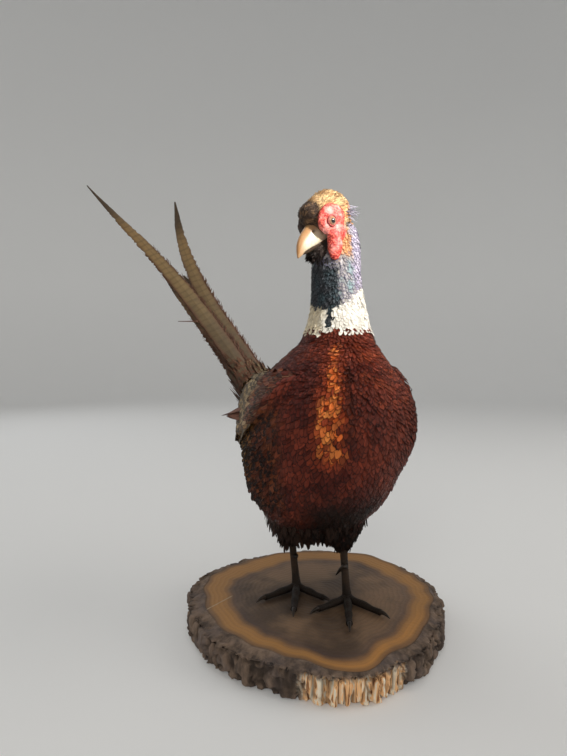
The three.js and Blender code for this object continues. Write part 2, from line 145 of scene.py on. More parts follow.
def smooth(rows):
    """A curve that passes evenly through rows of numbers; the first number is the station."""
    table = np.array(rows, float)
    stations, values = table[:, 0], table[:, 1:]
    slopes = np.empty_like(values)
    slopes[1:-1] = (values[2:] - values[:-2]) / (stations[2:] - stations[:-2])[:, None]
    slopes[0] = (values[1] - values[0]) / (stations[1] - stations[0])
    slopes[-1] = (values[-1] - values[-2]) / (stations[-1] - stations[-2])

    def at(station):
        places = np.atleast_1d(np.asarray(station, float))
        i = np.clip(np.searchsorted(stations, places, side="right") - 1, 0, len(stations) - 2)
        span = (stations[i + 1] - stations[i])[:, None]
        t = np.clip((places - stations[i])[:, None] / span, 0, 1)
        t2, t3 = t * t, t * t * t
        return ((2 * t3 - 3 * t2 + 1) * values[i] + (t3 - 2 * t2 + t) * span * slopes[i]
                + (3 * t2 - 2 * t3) * values[i + 1] + (t3 - t2) * span * slopes[i + 1])

    return at


body_at = smooth([
    (BELLY_HEIGHT, 6, 30, 16, 16, 7),
    (90, -12, 54, 33, 14, 7),
    (104, -36, 84, 51, 8, 7),
    (128, -62, 106, 66, 0, 8),
    (162, -84, 124, 76, -6, 9),
    (198, -94, 132, 79.5, -10, 10),
    (226, -92, 124, 76, -12, 11),
    (250, -82, 96, 63, -14, 13),
    (270, -69, 60, 47, -15, 15),
    (284, -57, 34, 36.5, -16, 17),
    (COLLAR_BOTTOM, -51, 22, 33, -16, 17),
    (312, -46, 14, 29.5, -16, 17),
    (COLLAR_TOP, -43, 10, 27, -16, 16),
    (350, -40, 6, 25.5, -16, 14.5),
    (372, -38, 4, 25, -17, 14.5),
    (386, -36, 2, 23.5, -17, 14.5),
    (398, -33, 0, 20, -17, 13.5),
    (NECK_TOP, -26, -8, 10, -17, 11),
])

skull_at = smooth([
    (FACE_FRONT, 11, -16, 9),
    (-15, 19, -21, 13),
    (-8, 22.5, -24, 16),
    (2, 23.5, -25, 17.5),
    (14, 22.5, -23, 17.5),
    (23, 17.5, -18, 14.5),
    (HEAD_BACK, 9, -8, 8),
])

upper_bill_at = smooth([
    (BILL_TIP, -11.6, -12.8, 0.7),
    (BILL_TIP + 3.5, -6, -12.3, 2.6),
    (BILL_TIP + 8, -1.5, -11, 4.2),
    (BILL_TIP + 14, 2, -11.2, 5.8),
    (BILL_TIP + 22, 4.5, -12.2, 7.6),
    (BILL_START, 7.5, -13.5, 10),
])

lower_bill_at = smooth([
    (LOWER_BILL_TIP, -12.2, -13.8, 1.6),
    (LOWER_BILL_TIP + 5, -11.4, -15.4, 3.4),
    (LOWER_BILL_TIP + 13, -12.2, -17, 5.6),
    (BILL_START, -14, -19.5, 8.5),
])

wing_at = smooth([
    (0, -48, 250, 9, 3),
    (0.14, -34, 243, 20, 5.5),
    (0.36, 0, 228, 32, 6.5),
    (0.6, 42, 213, 33, 6.5),
    (0.82, 88, 200, 24, 6.5),
    (1, 132, 196, 10, 5),
])

HEAD_FRAME = (
    Matrix.Translation(HEAD_CENTRE)
    @ Matrix.Rotation(math.radians(-HEAD_TURN), 4, "Z")
    @ Matrix.Rotation(math.radians(HEAD_PITCH), 4, "X")
)
HEAD_TO_ROW = np.array(HEAD_FRAME)
ROW_TO_HEAD = np.array(HEAD_FRAME.inverted())


def moved(points, matrix):
    return points @ matrix[:3, :3].T + matrix[:3, 3]


def body_grid(low, high, rows, sides, grow=0.0):
    height = np.linspace(low, high, rows + 1)
    front, back, half, widest, middle = body_at(height).T[:, :, None]
    angle = np.linspace(0, TURN, sides + 1)[None]
    ahead = np.cos(angle) > 0
    reach = np.where(ahead, widest - front, back - widest)
    taper = np.where(ahead, 1, 1 - 0.16 * np.cos(angle) ** 2)
    x = middle + (half * taper + grow) * np.sin(angle)
    y = widest - (reach + grow) * np.cos(angle)
    return np.stack([x, y, np.broadcast_to(height[:, None], x.shape)], -1)


def skull_grid(rows, sides, grow=0.0):
    station = np.linspace(FACE_FRONT, HEAD_BACK, rows + 1)
    top, bottom, half = skull_at(station).T[:, :, None]
    angle = np.linspace(0, TURN, sides + 1)[None]
    x = (half + grow) * np.sin(angle)
    z = (top + bottom) / 2 + ((top - bottom) / 2 + grow) * np.cos(angle)
    y = np.broadcast_to(station[:, None], x.shape)
    stretch = (HEAD_BACK - FACE_FRONT + 2 * grow) / (HEAD_BACK - FACE_FRONT)
    middle = (HEAD_BACK + FACE_FRONT) / 2
    return np.stack([x, middle + (y - middle) * stretch, z], -1)


def ball_grid(centre, radii, grow=0.0, rows=14, sides=24):
    polar = np.linspace(0, math.pi, rows + 1)[:, None]
    angle = np.linspace(0, TURN, sides + 1)[None]
    unit = np.stack([
        np.sin(polar) * np.cos(angle), np.sin(polar) * np.sin(angle), np.cos(polar) * np.ones_like(angle),
    ], -1)
    return np.array(centre) + unit * (np.array(radii) + grow)


def bill_grid(section_at, tip, ridge, rows, sides, grow=0.0):
    """Half of a bill, domed towards its ridge and nearly flat along its cutting edge."""
    station = np.linspace(tip, BILL_START, rows + 1)
    top, bottom, half = section_at(station).T[:, :, None]
    angle = np.linspace(0, TURN, sides + 1)[None]
    edge = bottom if ridge > 0 else top
    dome = ridge * (top - bottom) * np.maximum(np.cos(angle), 0) ** 0.85
    x = (half + grow) * np.sign(np.sin(angle)) * np.abs(np.sin(angle)) ** 0.9
    y = np.broadcast_to(station[:, None], x.shape)
    return np.stack([x, y, edge + dome], -1)


def limb_grid(stations, rows, sides, grow=0.0):
    """Rings round a bent path; each station is x, y, z, half width, half thickness."""
    table = np.array(stations, float)
    steps = np.linalg.norm(np.diff(table[:, :3], axis=0), axis=1)
    station = np.concatenate([[0], np.cumsum(steps)])
    values = smooth(np.column_stack([station, table]))(np.linspace(0, station[-1], rows + 1))
    path, wide, thick = values[:, :3], values[:, 3, None, None] + grow, values[:, 4, None, None] + grow
    along = unit(np.gradient(path, axis=0))
    upright = np.abs(along[:, 2:]).mean() > 0.8
    hint = np.array([0, 1, 0]) if upright else np.array([0, 0, 1])
    across = unit(np.cross(along, hint))
    normal = np.cross(across, along)
    angle = np.linspace(0, TURN, sides + 1)[None, :, None]
    return path[:, None] + across[:, None] * wide * np.cos(angle) + normal[:, None] * thick * np.sin(angle)


def unit(vectors):
    return vectors / np.maximum(np.linalg.norm(vectors, axis=-1, keepdims=True), 1e-9)


def side_of_trunk(y, height):
    front, back, half, widest = body_at(height)[:, :4].T
    reach = np.where(y < widest, widest - front, back - widest)
    along = np.clip((y - widest) / reach, -0.999, 0.999)
    taper = np.where(y < widest, 1, 1 - 0.16 * along ** 2)
    return half * taper * np.sqrt(1 - along ** 2)


def wing_grid(side, rows, sides, thin=0.0):
    y, height, depth, thickness = wing_at(np.linspace(0, 1, rows + 1)).T
    lean = side_of_trunk(y, height + 12) - side_of_trunk(y, height - 12)
    up = unit(np.stack([side * lean, 0 * lean, 0 * lean + 24], -1))
    out = np.stack([side * up[:, 2], 0 * lean, -side * up[:, 0]], -1)
    middle = body_at(height)[:, 4]
    bulge = np.maximum(side_of_trunk(y, height), 14)
    centre = np.stack([middle + side * bulge, y, height], -1)
    angle = np.linspace(0, TURN, sides + 1)[None, :, None]
    depth = depth[:, None, None] - thin
    thickness = thickness[:, None, None] - thin
    return centre[:, None] + up[:, None] * depth * np.cos(angle) + out[:, None] * thickness * np.sin(angle)


def along_tail(distance, wide, thick, drop=0.0):
    turn, rise = math.radians(TAIL_TURN), math.radians(TAIL_RISE)
    return (
        TAIL_ROOT[0] - math.sin(turn) * math.cos(rise) * distance,
        TAIL_ROOT[1] + math.cos(turn) * math.cos(rise) * distance,
        TAIL_ROOT[2] + math.sin(rise) * distance - drop,
        wide, thick,
    )


COVERTS = (
    along_tail(-40, 38, 38, 4), along_tail(-6, 38, 36, 7), along_tail(26, 33, 28, 9),
    along_tail(58, 27, 21, 9), along_tail(88, 20, 14, 8),
)


def thigh_stations(side):
    x, y = RIGHT_FOOT if side < 0 else LEFT_FOOT
    return (
        (x + 2 * side + 1, y + 17, BELLY_HEIGHT - 10, 8, 8),
        (x + 2 * side + 2, y + 19, BELLY_HEIGHT - 2, 13, 14),
        (x + 2 * side + 3, y + 22, BELLY_HEIGHT + 12, 19, 22),
        (x + 3 * side + 4, y + 24, BELLY_HEIGHT + 32, 24, 30),
        (x + 4 * side + 4, y + 26, BELLY_HEIGHT + 56, 22, 30),
    )


# ---------------------------------------------------------------- making pieces

def capped(grid):
    """The grid with one more row at each end, drawn to that end's middle."""
    ends = [np.broadcast_to(row[:-1].mean(0), row.shape)[None] for row in (grid[0], grid[-1])]
    return np.concatenate([ends[0], grid, ends[1]])


def padded(rows):
    """The values of a grid's rows, with one more row at each end for its caps."""
    return np.concatenate([rows[:1], rows, rows[-1:]])


def wrap(bm, grid, **values):
    """Lays a grid of faces over rows of points, with a value per point in each named layer."""
    rows, columns = grid.shape[:2]
    for name in values:
        if name not in bm.verts.layers.float:
            bm.verts.layers.float.new(name)
    made = bmesh.ops.create_grid(bm, x_segments=columns - 1, y_segments=rows - 1, size=1)["verts"]
    for vert, place in zip(made, grid.reshape(-1, 3) * MM):
        vert.co = place
    for name, numbers in values.items():
        layer = bm.verts.layers.float[name]
        for vert, number in zip(made, np.broadcast_to(numbers, grid.shape[:2]).ravel()):
            vert[layer] = number
    bmesh.ops.remove_doubles(bm, verts=made, dist=1e-6)


def outward(bm):
    bmesh.ops.recalc_face_normals(bm, faces=bm.faces)


def finish_piece(name, shape, material, nodes=()):
    """Links a piece, lets it ride on the bird and stand for its CAD nodes."""
    if isinstance(shape, bmesh.types.BMesh):
        mesh = bpy.data.meshes.new(name)
        shape.to_mesh(mesh)
        shape.free()
    else:
        mesh = shape
        mesh.name = name
    mesh.shade_smooth()
    mesh.materials.clear()
    mesh.materials.append(material)
    piece = bpy.data.objects.new(name, mesh)
    bpy.context.scene.collection.objects.link(piece)
    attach(piece, "root")
    if nodes:
        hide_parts(*nodes)


def limb_piece(name, stations, rows, sides, material, node):
    """A closed limb that stands for one CAD node."""
    bm = bmesh.new()
    wrap(bm, capped(limb_grid(stations, rows, sides)))
    outward(bm)
    finish_piece(name, bm, material, (node,))


def remeshed(bm, voxel, rounds):
    """One closed skin over overlapping closed shapes, with its ridges smoothed away."""
    mesh = bpy.data.meshes.new("rough")
    bm.to_mesh(mesh)
    bm.free()
    holder = bpy.data.objects.new("rough", mesh)
    bpy.context.scene.collection.objects.link(holder)
    remesh = holder.modifiers.new("one skin", "REMESH")
    remesh.mode = "VOXEL"
    remesh.voxel_size = voxel * MM
    soften = holder.modifiers.new("soften", "SMOOTH")
    soften.factor = 0.5
    soften.iterations = rounds
    graph = bpy.context.evaluated_depsgraph_get()
    result = bpy.data.meshes.new_from_object(holder.evaluated_get(graph))
    bpy.data.objects.remove(holder)
    bpy.data.meshes.remove(mesh)
    return result


def points_of(mesh):
    flat = np.empty(len(mesh.vertices) * 3)
    mesh.vertices.foreach_get("co", flat)
    return flat.reshape(-1, 3) / MM


def set_value(mesh, name, kind, numbers):
    layer = mesh.attributes.get(name) or mesh.attributes.new(name, kind, "POINT")
    field = {"FLOAT": "value", "FLOAT_VECTOR": "vector", "FLOAT_COLOR": "color"}[kind]
    layer.data.foreach_set(field, np.ascontiguousarray(numbers, np.float32).ravel())


def paint(code):
    """Linear red, green and blue of a six-figure colour code."""
    shades = np.array([int(code[i:i + 2], 16) for i in (0, 2, 4)]) / 255
    return np.where(shades <= 0.04045, shades / 12.92, ((shades + 0.055) / 1.055) ** 2.4)


def shade(code):
    return (*paint(code), 1.0)


def ease(low, high, value):
    """0 below low, 1 above high, and an even rise between them."""
    t = np.clip((value - low) / (high - low), 0, 1)
    return t * t * (3 - 2 * t)


def blend(first, second, share):
    return first + (second - first) * np.asarray(share)[..., None]


def mottle(first, second, share):
    """A blend of two colour codes."""
    return blend(paint(first), paint(second), share)


def layered(tint, *layers):
    """Lays colours over a tint; each layer is a colour or its code, and its share."""
    for colour, share in layers:
        tint = blend(tint, paint(colour) if isinstance(colour, str) else colour, share)
    return tint


# ---------------------------------------------------------------- shader maths

class Tone:
    """A socket of a material; arithmetic on it adds the nodes that work it out."""

    def __init__(self, recipe, socket):
        self.recipe = recipe
        self.socket = socket

    def maths(self, operation, *values):
        return self.recipe.node("ShaderNodeMath", {"operation": operation}, *values)

    def __add__(self, other):
        return self.maths("ADD", self, other)

    def __radd__(self, other):
        return self.maths("ADD", other, self)

    def __sub__(self, other):
        return self.maths("SUBTRACT", self, other)

    def __rsub__(self, other):
        return self.maths("SUBTRACT", other, self)

    def __mul__(self, other):
        return self.maths("MULTIPLY", self, other)

    def __rmul__(self, other):
        return self.maths("MULTIPLY", other, self)

    def __truediv__(self, other):
        return self.maths("DIVIDE", self, other)

    def __pow__(self, other):
        return self.maths("POWER", self, other)

    def sine(self):
        return self.maths("SINE", self)

    def size(self):
        return self.maths("ABSOLUTE", self)

    def between(self, low, high):
        """0 below low, 1 above high and an even rise between them."""
        return self.recipe.node(
            "ShaderNodeMapRange", {"interpolation_type": "SMOOTHSTEP"}, self, low, high, 0.0, 1.0)


class Recipe:
    """A material with one Principled shader and the nodes that feed it."""

    def __init__(self, name, roughness=0.5, metallic=0.0, **constants):
        self.material = bpy.data.materials.new(name)
        self.material.use_nodes = True
        self.tree = self.material.node_tree
        self.tree.nodes.clear()
        self.shader = self.tree.nodes.new("ShaderNodeBsdfPrincipled")
        output = self.tree.nodes.new("ShaderNodeOutputMaterial")
        self.tree.links.new(self.shader.outputs[0], output.inputs[0])
        self.shader.inputs["Roughness"].default_value = roughness
        self.shader.inputs["Metallic"].default_value = metallic
        for key, value in constants.items():
            self.shader.inputs[key.replace("_", " ")].default_value = value

    def node(self, kind, settings, *values, out=0, **named):
        """Adds a node, sets it up, feeds its sockets in order or by name and gives an output."""
        made = self.tree.nodes.new(kind)
        for key, value in settings.items():
            setattr(made, key, value)
        for i, value in enumerate(values):
            self.feed(made.inputs[i], value)
        for key, value in named.items():
            self.feed(made.inputs[key], value)
        return Tone(self, made.outputs[out])

    def feed(self, socket, value):
        if isinstance(value, Tone):
            self.tree.links.new(value.socket, socket)
        else:
            socket.default_value = value

    def set(self, name, value):
        self.feed(self.shader.inputs[name], value)

    def place(self, **stretch):
        """Where a point lies on its piece, stretched if a scale is given."""
        place = self.node("ShaderNodeTexCoord", {}, out="Object")
        return self.node("ShaderNodeMapping", {}, Vector=place, **stretch) if stretch else place

    def split(self, vector):
        parts = self.node("ShaderNodeSeparateXYZ", {}, vector).socket.node
        return [Tone(self, output) for output in parts.outputs]

    def value(self, name, out="Fac"):
        return self.node("ShaderNodeAttribute", {"attribute_name": name}, out=out)

    def speckle(self, scale, detail=3.0, rough=0.5, **stretch):
        return self.node(
            "ShaderNodeTexNoise", {}, Vector=self.place(**stretch), Scale=scale, Detail=detail,
            Roughness=rough)

    def cells(self, scale, feature="F1"):
        return self.node("ShaderNodeTexVoronoi", {"feature": feature}, Vector=self.place(), Scale=scale)

    def mix(self, share, first, second, mode="MIX"):
        made = self.tree.nodes.new("ShaderNodeMix")
        made.data_type = "RGBA"
        made.blend_type = mode
        for socket, value in zip((made.inputs[0], made.inputs[6], made.inputs[7]), (share, first, second)):
            self.feed(socket, value)
        return Tone(self, made.outputs[2])

    def mottle(self, share, first, second):
        return self.mix(share, shade(first), shade(second))

    def over(self, colour, *layers):
        """Lays colours over one another; each layer is its share and its colour's code."""
        for share, code in layers:
            colour = self.mix(share, colour, shade(code))
        return colour

    def dimmed(self, colour, level):
        return self.mix(1.0, colour, self.node("ShaderNodeCombineXYZ", {}, level, level, level), "MULTIPLY")

    def done(self, colour, roughness=None, height=None, distance=0.0003, strength=0.5):
        """Feeds the shader with the colour, the roughness and the relief, and gives the material."""
        self.set("Base Color", colour)
        if roughness is not None:
            self.set("Roughness", roughness)
        if height is not None:
            self.set("Normal", self.node(
                "ShaderNodeBump", {}, Strength=strength, Distance=distance, Height=height))
        return self.material


def feather_finish(name, roughness, metallic=0.0, barbs=60.0, shine=0.25):
    """A vane that reads its own tint, rim and marks, with barbs on both sides of a quill."""
    recipe = Recipe(name, roughness, metallic, Specular_IOR_Level=shine)
    across, along, seed = recipe.split(recipe.value("vane", "Vector"))
    extent, bars, quill = recipe.split(recipe.value("marks", "Vector"))
    wide = across.size()
    edge = 1 - (1 - across * across) * (1 - along ** 5)
    wander = recipe.speckle(420.0) * 0.5 - 0.25
    rim = ((edge + wander - 1 + extent) / 0.45 + 0.5).between(0.0, 1.0)
    wave = (along * bars * TURN - across * across * 2.2 + seed * 0.6).sine()
    bar = wave.between(0.1, 0.6) * bars.between(0.3, 0.6)
    spot = (along + wander * 0.5).between(0.66, 0.76) * (1 - (wide + wander * 0.6).between(0.45, 0.75))
    spot = spot * recipe.value("rim", "Alpha")
    dark = recipe.value("rim", "Color")
    colour = recipe.mix(rim, recipe.value("tint", "Color"), dark)
    colour = recipe.mix(bar * 0.85, colour, dark)
    colour = recipe.over(colour, (spot * 0.95, "0c0706"))
    shaft = (1 - wide.between(0.02, 0.1)) * quill
    colour = recipe.mix(shaft * 0.7, colour, recipe.value("shaft", "Color"))
    strands = (along * barbs + wide * barbs * 0.5 + seed * 3.0).sine()
    colour = recipe.dimmed(colour, seed * 0.4 + 0.8 + strands * 0.1)
    uneven = None
    if metallic:
        recipe.set("Metallic", (1 - rim) * recipe.value("tint", "Alpha") * metallic)
        uneven = roughness + rim * 0.25 + strands * 0.05
    return recipe.done(colour, uneven, strands * 0.5 + (1 - wide.between(0.0, 0.12)), strength=0.6)


# ---------------------------------------------------------------- the skin and what grows on it

COAT = {"bvh": None, "mesh": None, "roots": [], "tints": []}


def head_balls(grow=0.0):
    return [
        ball_grid((0, -12, 12), (12, 12, 11), grow),
        ball_grid((0, -19, -20.5), (10, 17, 8), grow),
    ]


def flesh_shape(depth, head_depth):
    bm = bmesh.new()
    wrap(bm, capped(body_grid(BELLY_HEIGHT + depth, COLLAR_BOTTOM, 50, 72, -depth)))
    wrap(bm, capped(body_grid(COLLAR_BOTTOM - 6, NECK_TOP - 2, 26, 48, -0.6 * depth)))
    for grid in [skull_grid(20, 36, -head_depth), *head_balls(-head_depth)]:
        wrap(bm, capped(moved(grid, HEAD_TO_ROW)))
    wrap(bm, capped(limb_grid(COVERTS, 16, 32, -depth)))
    for side in SIDES:
        wrap(bm, capped(limb_grid(thigh_stations(side), 14, 28, -depth)))
        wrap(bm, capped(wing_grid(side, 40, 32, 0.7 * depth)))
    outward(bm)
    return bm


def snap(point):
    """The nearest place on the skin, and the skin's normal there."""
    return COAT["bvh"].find_nearest(Vector(point))[:2]


class Roots:
    """Places where feathers grow, with how far each lies round and along its form."""

    def __init__(self, places, around, along):
        self.places = places
        self.around = around
        self.along = along

    def keep(self, chosen):
        return Roots(self.places[chosen], self.around[chosen], self.along[chosen])


def joined(groups):
    keys = ("places", "around", "along")
    return Roots(*[np.concatenate([getattr(group, key) for group in groups]) for key in keys])


def sow(grid, pitch_at, seed, wide=1.15, jitter=0.18):
    """Roots in offset rows over a form; pitch_at gives their spacing from a row's points."""
    rng = np.random.default_rng(seed)
    rows, columns = grid.shape[:2]
    lengths = np.linalg.norm(np.diff(grid, axis=0), axis=2).mean(1)
    station = np.concatenate([[0], np.cumsum(lengths)])
    places, around, along = [], [], []
    reached, row = 0.0, 0
    while reached < station[-1]:
        f = np.interp(reached, station, np.arange(rows))
        i = min(int(f), rows - 2)
        ring = grid[i] + (grid[i + 1] - grid[i]) * (f - i)
        girth = np.concatenate([[0], np.cumsum(np.linalg.norm(np.diff(ring, axis=0), axis=1))])
        pitch = pitch_at(ring)
        count = max(int(girth[-1] / (pitch * wide)), 3)
        share = (np.arange(count) + 0.5 * (row % 2) + rng.uniform(-jitter, jitter, count)) / count % 1
        spots = np.stack([np.interp(share * girth[-1], girth, ring[:, k]) for k in range(3)], -1)
        shift = rng.uniform(-jitter, jitter, count)[:, None] * pitch
        spots += shift * unit(grid[i + 1].mean(0) - grid[i].mean(0))
        places.append(spots)
        around.append(np.interp(share * girth[-1], girth, np.linspace(0, 1, columns)))
        along.append(np.full(count, reached / station[-1]))
        reached += pitch
        row += 1
    return Roots(np.concatenate(places), np.concatenate(around), np.concatenate(along))


def uncovered(roots, slack=0.5):
    """Only the roots that aren't buried under another part of the bird."""
    chosen = []
    for place in roots.places:
        spot, normal = snap(place)
        chosen.append((Vector(place) - spot).dot(normal) > -slack)
    return roots.keep(np.array(chosen))


VANES = {
    # half width along the vane, columns, how the tip rounds, how the vane cups, how ragged the tip is
    "scale": ((0.45, 0.9, 1.0, 0.88, 0.42), 6, 0.5, 0.14, 0.08),
    "small": ((0.5, 0.95, 1.0, 0.62), 4, 0.32, 0.12, 0.1),
    "soft": ((0.5, 0.9, 1.0, 0.8, 0.42), 6, 0.3, 0.14, 0.2),
    "lancet": ((0.45, 0.95, 0.95, 0.7, 0.25), 4, 0.3, 0.12, 0.12),
    "down": ((0.6, 1.0, 0.7, 0.1), 2, 0.35, 0.1, 0.25),
    "quill": ((0.5, 0.85, 1.0, 1.0, 1.0, 1.0, 0.95, 0.85, 0.5), 8, 0.12, 0.1, 0.015),
}


def trace(roots, lie_at, length, steps, hang):
    """Each feather's middle line over the skin, or hanging free of it, with the normal along it."""
    count = len(roots.places)
    spine = np.empty((count, steps + 1, 3))
    normals = np.empty((count, steps + 1, 3))
    lies = lie_at(roots.places)
    for i, root in enumerate(roots.places):
        place, normal = snap(root)
        heading = Vector(lies[i])
        for k in range(steps + 1):
            spine[i, k] = place
            normals[i, k] = normal
            if hang:
                place = place + heading.normalized() * (length[i] / steps)
                continue
            heading = (heading - normal * heading.dot(normal)).normalized()
            if k < steps:
                place, normal = snap(place + heading * (length[i] / steps))
    return spine, normals


def plumage(name, kind, roots, lie_at, length, width, lift, seed, tilt=0.0, stray=0.09, hang=False):
    """Grows one vane from every root and returns the mesh with its coordinates and its patches."""
    profile, columns, round_tip, cup, ragged = VANES[kind]
    steps = len(profile) - 1
    rng = np.random.default_rng(seed)
    count = len(roots.places)
    length = np.broadcast_to(length, count) * rng.uniform(0.88, 1.1, count)
    width = np.broadcast_to(width, count) * rng.uniform(0.9, 1.1, count)
    spine, normals = trace(roots, lie_at, length, steps, hang)
    along = unit(np.gradient(spine, axis=1))
    normals = unit(normals)
    side = unit(np.cross(along, normals))
    swing = rng.normal(0, stray, count)[:, None, None]
    s = np.linspace(0, 1, steps + 1)[None, :, None]
    spine = spine + side * swing * s * length[:, None, None]
    c = np.linspace(-1, 1, columns + 1)
    half = (width / 2)[:, None] * np.array(profile)[None]
    rise = np.broadcast_to(lift, count)[:, None] * (0.25 + 0.75 * s[..., 0])
    rise = rise + rng.uniform(0, 0.25, count)[:, None]
    tilts = tilt * rng.uniform(0.0, 2.0, count) ** 2
    rise = rise + (tilts * length)[:, None] * s[..., 0] ** 2
    out = (half[..., None] * c)[..., None] * side[:, :, None]
    droop = rise[..., None] - cup * half[..., None] * c ** 2
    droop = droop + rng.normal(0, 0.1, count)[:, None, None] * c * half[..., None]
    back = round_tip * c ** 2 * s[..., 0][..., None] ** 2 * half[..., None] * 1.6
    torn = rng.uniform(0, ragged, (count, steps + 1, columns + 1)) * s ** 3 * length[:, None, None]
    points = (spine[:, :, None] + out + normals[:, :, None] * droop[..., None]
              - along[:, :, None] * (back + torn)[..., None])
    stride = (steps + 1) * (columns + 1)
    row, column = np.meshgrid(np.arange(steps), np.arange(columns), indexing="ij")
    corner = (row * (columns + 1) + column).ravel()
    quads = np.stack([corner, corner + 1, corner + columns + 2, corner + columns + 1], -1)
    faces = (np.arange(count)[:, None, None] * stride + quads).reshape(-1, 4)
    mesh = bpy.data.meshes.new(name)
    mesh.from_pydata((points.reshape(-1, 3) * MM).tolist(), [], faces.tolist())
    local_along = np.broadcast_to(s, (count, steps + 1, columns + 1))
    local_across = np.broadcast_to(c, (count, steps + 1, columns + 1))
    seeds = np.broadcast_to(rng.uniform(0, 1, count)[:, None, None], (count, steps + 1, columns + 1))
    set_value(mesh, "vane", "FLOAT_VECTOR", np.stack([local_across, local_along, seeds], -1))
    patch = 0.003
    u = 0.01 + 0.98 * roots.around[:, None, None] + patch * (local_across / 2)
    v = 0.01 + 0.98 * roots.along[:, None, None] + patch * (local_along - 0.5)
    places = np.stack([u, v], -1).reshape(-1, 2)
    layer = mesh.uv_layers.new(name="OFBake")
    layer.data.foreach_set("uv", places[faces.ravel()].astype(np.float32).ravel())
    return mesh, stride


class Marks:
    """Colours of a coat: a tint and rim per feather, and how far each marking of the vane goes."""

    def __init__(self, tint, rim, extent, bars=0.0, quill=0.0, shaft="e0d2a8", gloss=1.0, spot=0.0):
        self.tint = tint
        self.rim = rim
        self.vane = (extent, bars, quill)
        self.shaft = shaft
        self.gloss = gloss
        self.spot = spot

    def spread(self, mesh, stride, count):
        """Spreads each feather's colours over its points, and gives its colour for the skin below."""
        tint = np.clip(np.broadcast_to(self.tint, (count, 3)), 0, 1)
        rim = np.clip(np.broadcast_to(self.rim, (count, 3)), 0, 1)
        shaft = np.broadcast_to(paint(self.shaft), (count, 3))
        layers = (("tint", tint, self.gloss), ("rim", rim, self.spot), ("shaft", shaft, 1.0))
        for name, shades, extra in layers:
            fourth = np.broadcast_to(extra, count)[:, None]
            set_value(mesh, name, "FLOAT_COLOR", np.repeat(np.hstack([shades, fourth]), stride, 0))
        marks = np.stack([np.broadcast_to(x, count) for x in self.vane], -1)
        set_value(mesh, "marks", "FLOAT_VECTOR", np.repeat(marks, stride, 0))
        return tint * 0.35 + rim * 0.2


def grow(name, slot, finish, kind, roots, lie_at, length, width, lift, marks, **looseness):
    """Grows a coat of vanes as one piece, and keeps its colours for the skin below."""
    mesh, stride = plumage(name, kind, roots, lie_at, length, width, lift, **looseness)
    COAT["roots"].append(roots.places)
    COAT["tints"].append(marks.spread(mesh, stride, len(roots.places)))
    finish_piece(name, mesh, finish)


# ---------------------------------------------------------------- where the feathers lie and their colours

def lie_of_body(places):
    x, y, z = places.T
    low = ease(250, 150, z) * ease(30, -40, y)
    toward = -0.35 * (x - body_at(z)[:, 4]) / 80 * low
    back = 0.62 - 0.42 * ease(270, 330, z)
    return np.stack([toward, back, np.full(len(z), -0.8)], -1)


def lie_of_head(places):
    down = -0.12 - 0.5 * ease(-5, 20, moved(places, ROW_TO_HEAD)[:, 1])
    local = np.stack([0 * down, 0 * down + 1, down], -1)
    return local @ HEAD_TO_ROW[:3, :3].T


def lie_of_beard(places):
    x, y, z = moved(places, ROW_TO_HEAD).T
    local = np.stack([0.04 * x, 0 * y - 1, 0.05 * (z + 20) - 0.1], -1)
    return local @ HEAD_TO_ROW[:3, :3].T


def lie_of_tail(places):
    ahead = np.array(along_tail(1, 0, 0)[:3]) - np.array(along_tail(0, 0, 0)[:3])
    return np.broadcast_to(ahead, places.shape)


def lie_of_covers(places):
    """Along the tail, spreading out on the bird's left."""
    ahead = lie_of_tail(places)
    apart = places - np.array(TAIL_ROOT)
    apart = apart - (apart * ahead).sum(1, keepdims=True) * ahead
    spread = np.array([0.008, 0, 0]) * apart * (apart[:, :1] > 2)
    return ahead + spread - np.array([0, 0.006, 0.006]) * apart * (apart[:, 2:] > 0)


def lie_of_wing(places):
    return np.broadcast_to((0.0, 0.93, -0.36), places.shape)


def lie_of_ruffled(places):
    """Towards one point behind the wing, so that the tuft ends in a tip."""
    return np.array(RUFFLED_AT) + np.array(RUFFLED_REACH) - places


def lie_down(places):
    return np.broadcast_to((0.0, 0.12, -1.0), places.shape)


def bearing(places):
    """Degrees round the body from dead ahead, positive on the bird's left."""
    widest, middle = body_at(places[:, 2])[:, 3:].T
    return np.degrees(np.arctan2(places[:, 0] - middle, widest - places[:, 1]))


def wobble(places, scale, seed):
    """Even noise from -1 to 1 at each place."""
    return np.array([noise.noise(Vector(p) / scale + Vector((seed, 0, 0))) for p in places])


def puff(places):
    """How far the feathers stand off the skin, more where the coat is fluffed out at the sides."""
    z = places[:, 2]
    angle = bearing(places)
    left = ease(15, 50, angle) * ease(125, 90, angle) * ease(165, 205, z) * ease(272, 222, z)
    right = ease(-55, -85, angle) * ease(-109, -102, angle) * ease(118, 148, z) * ease(225, 185, z)
    return 2.4 + 6.5 * left + 6.5 * right


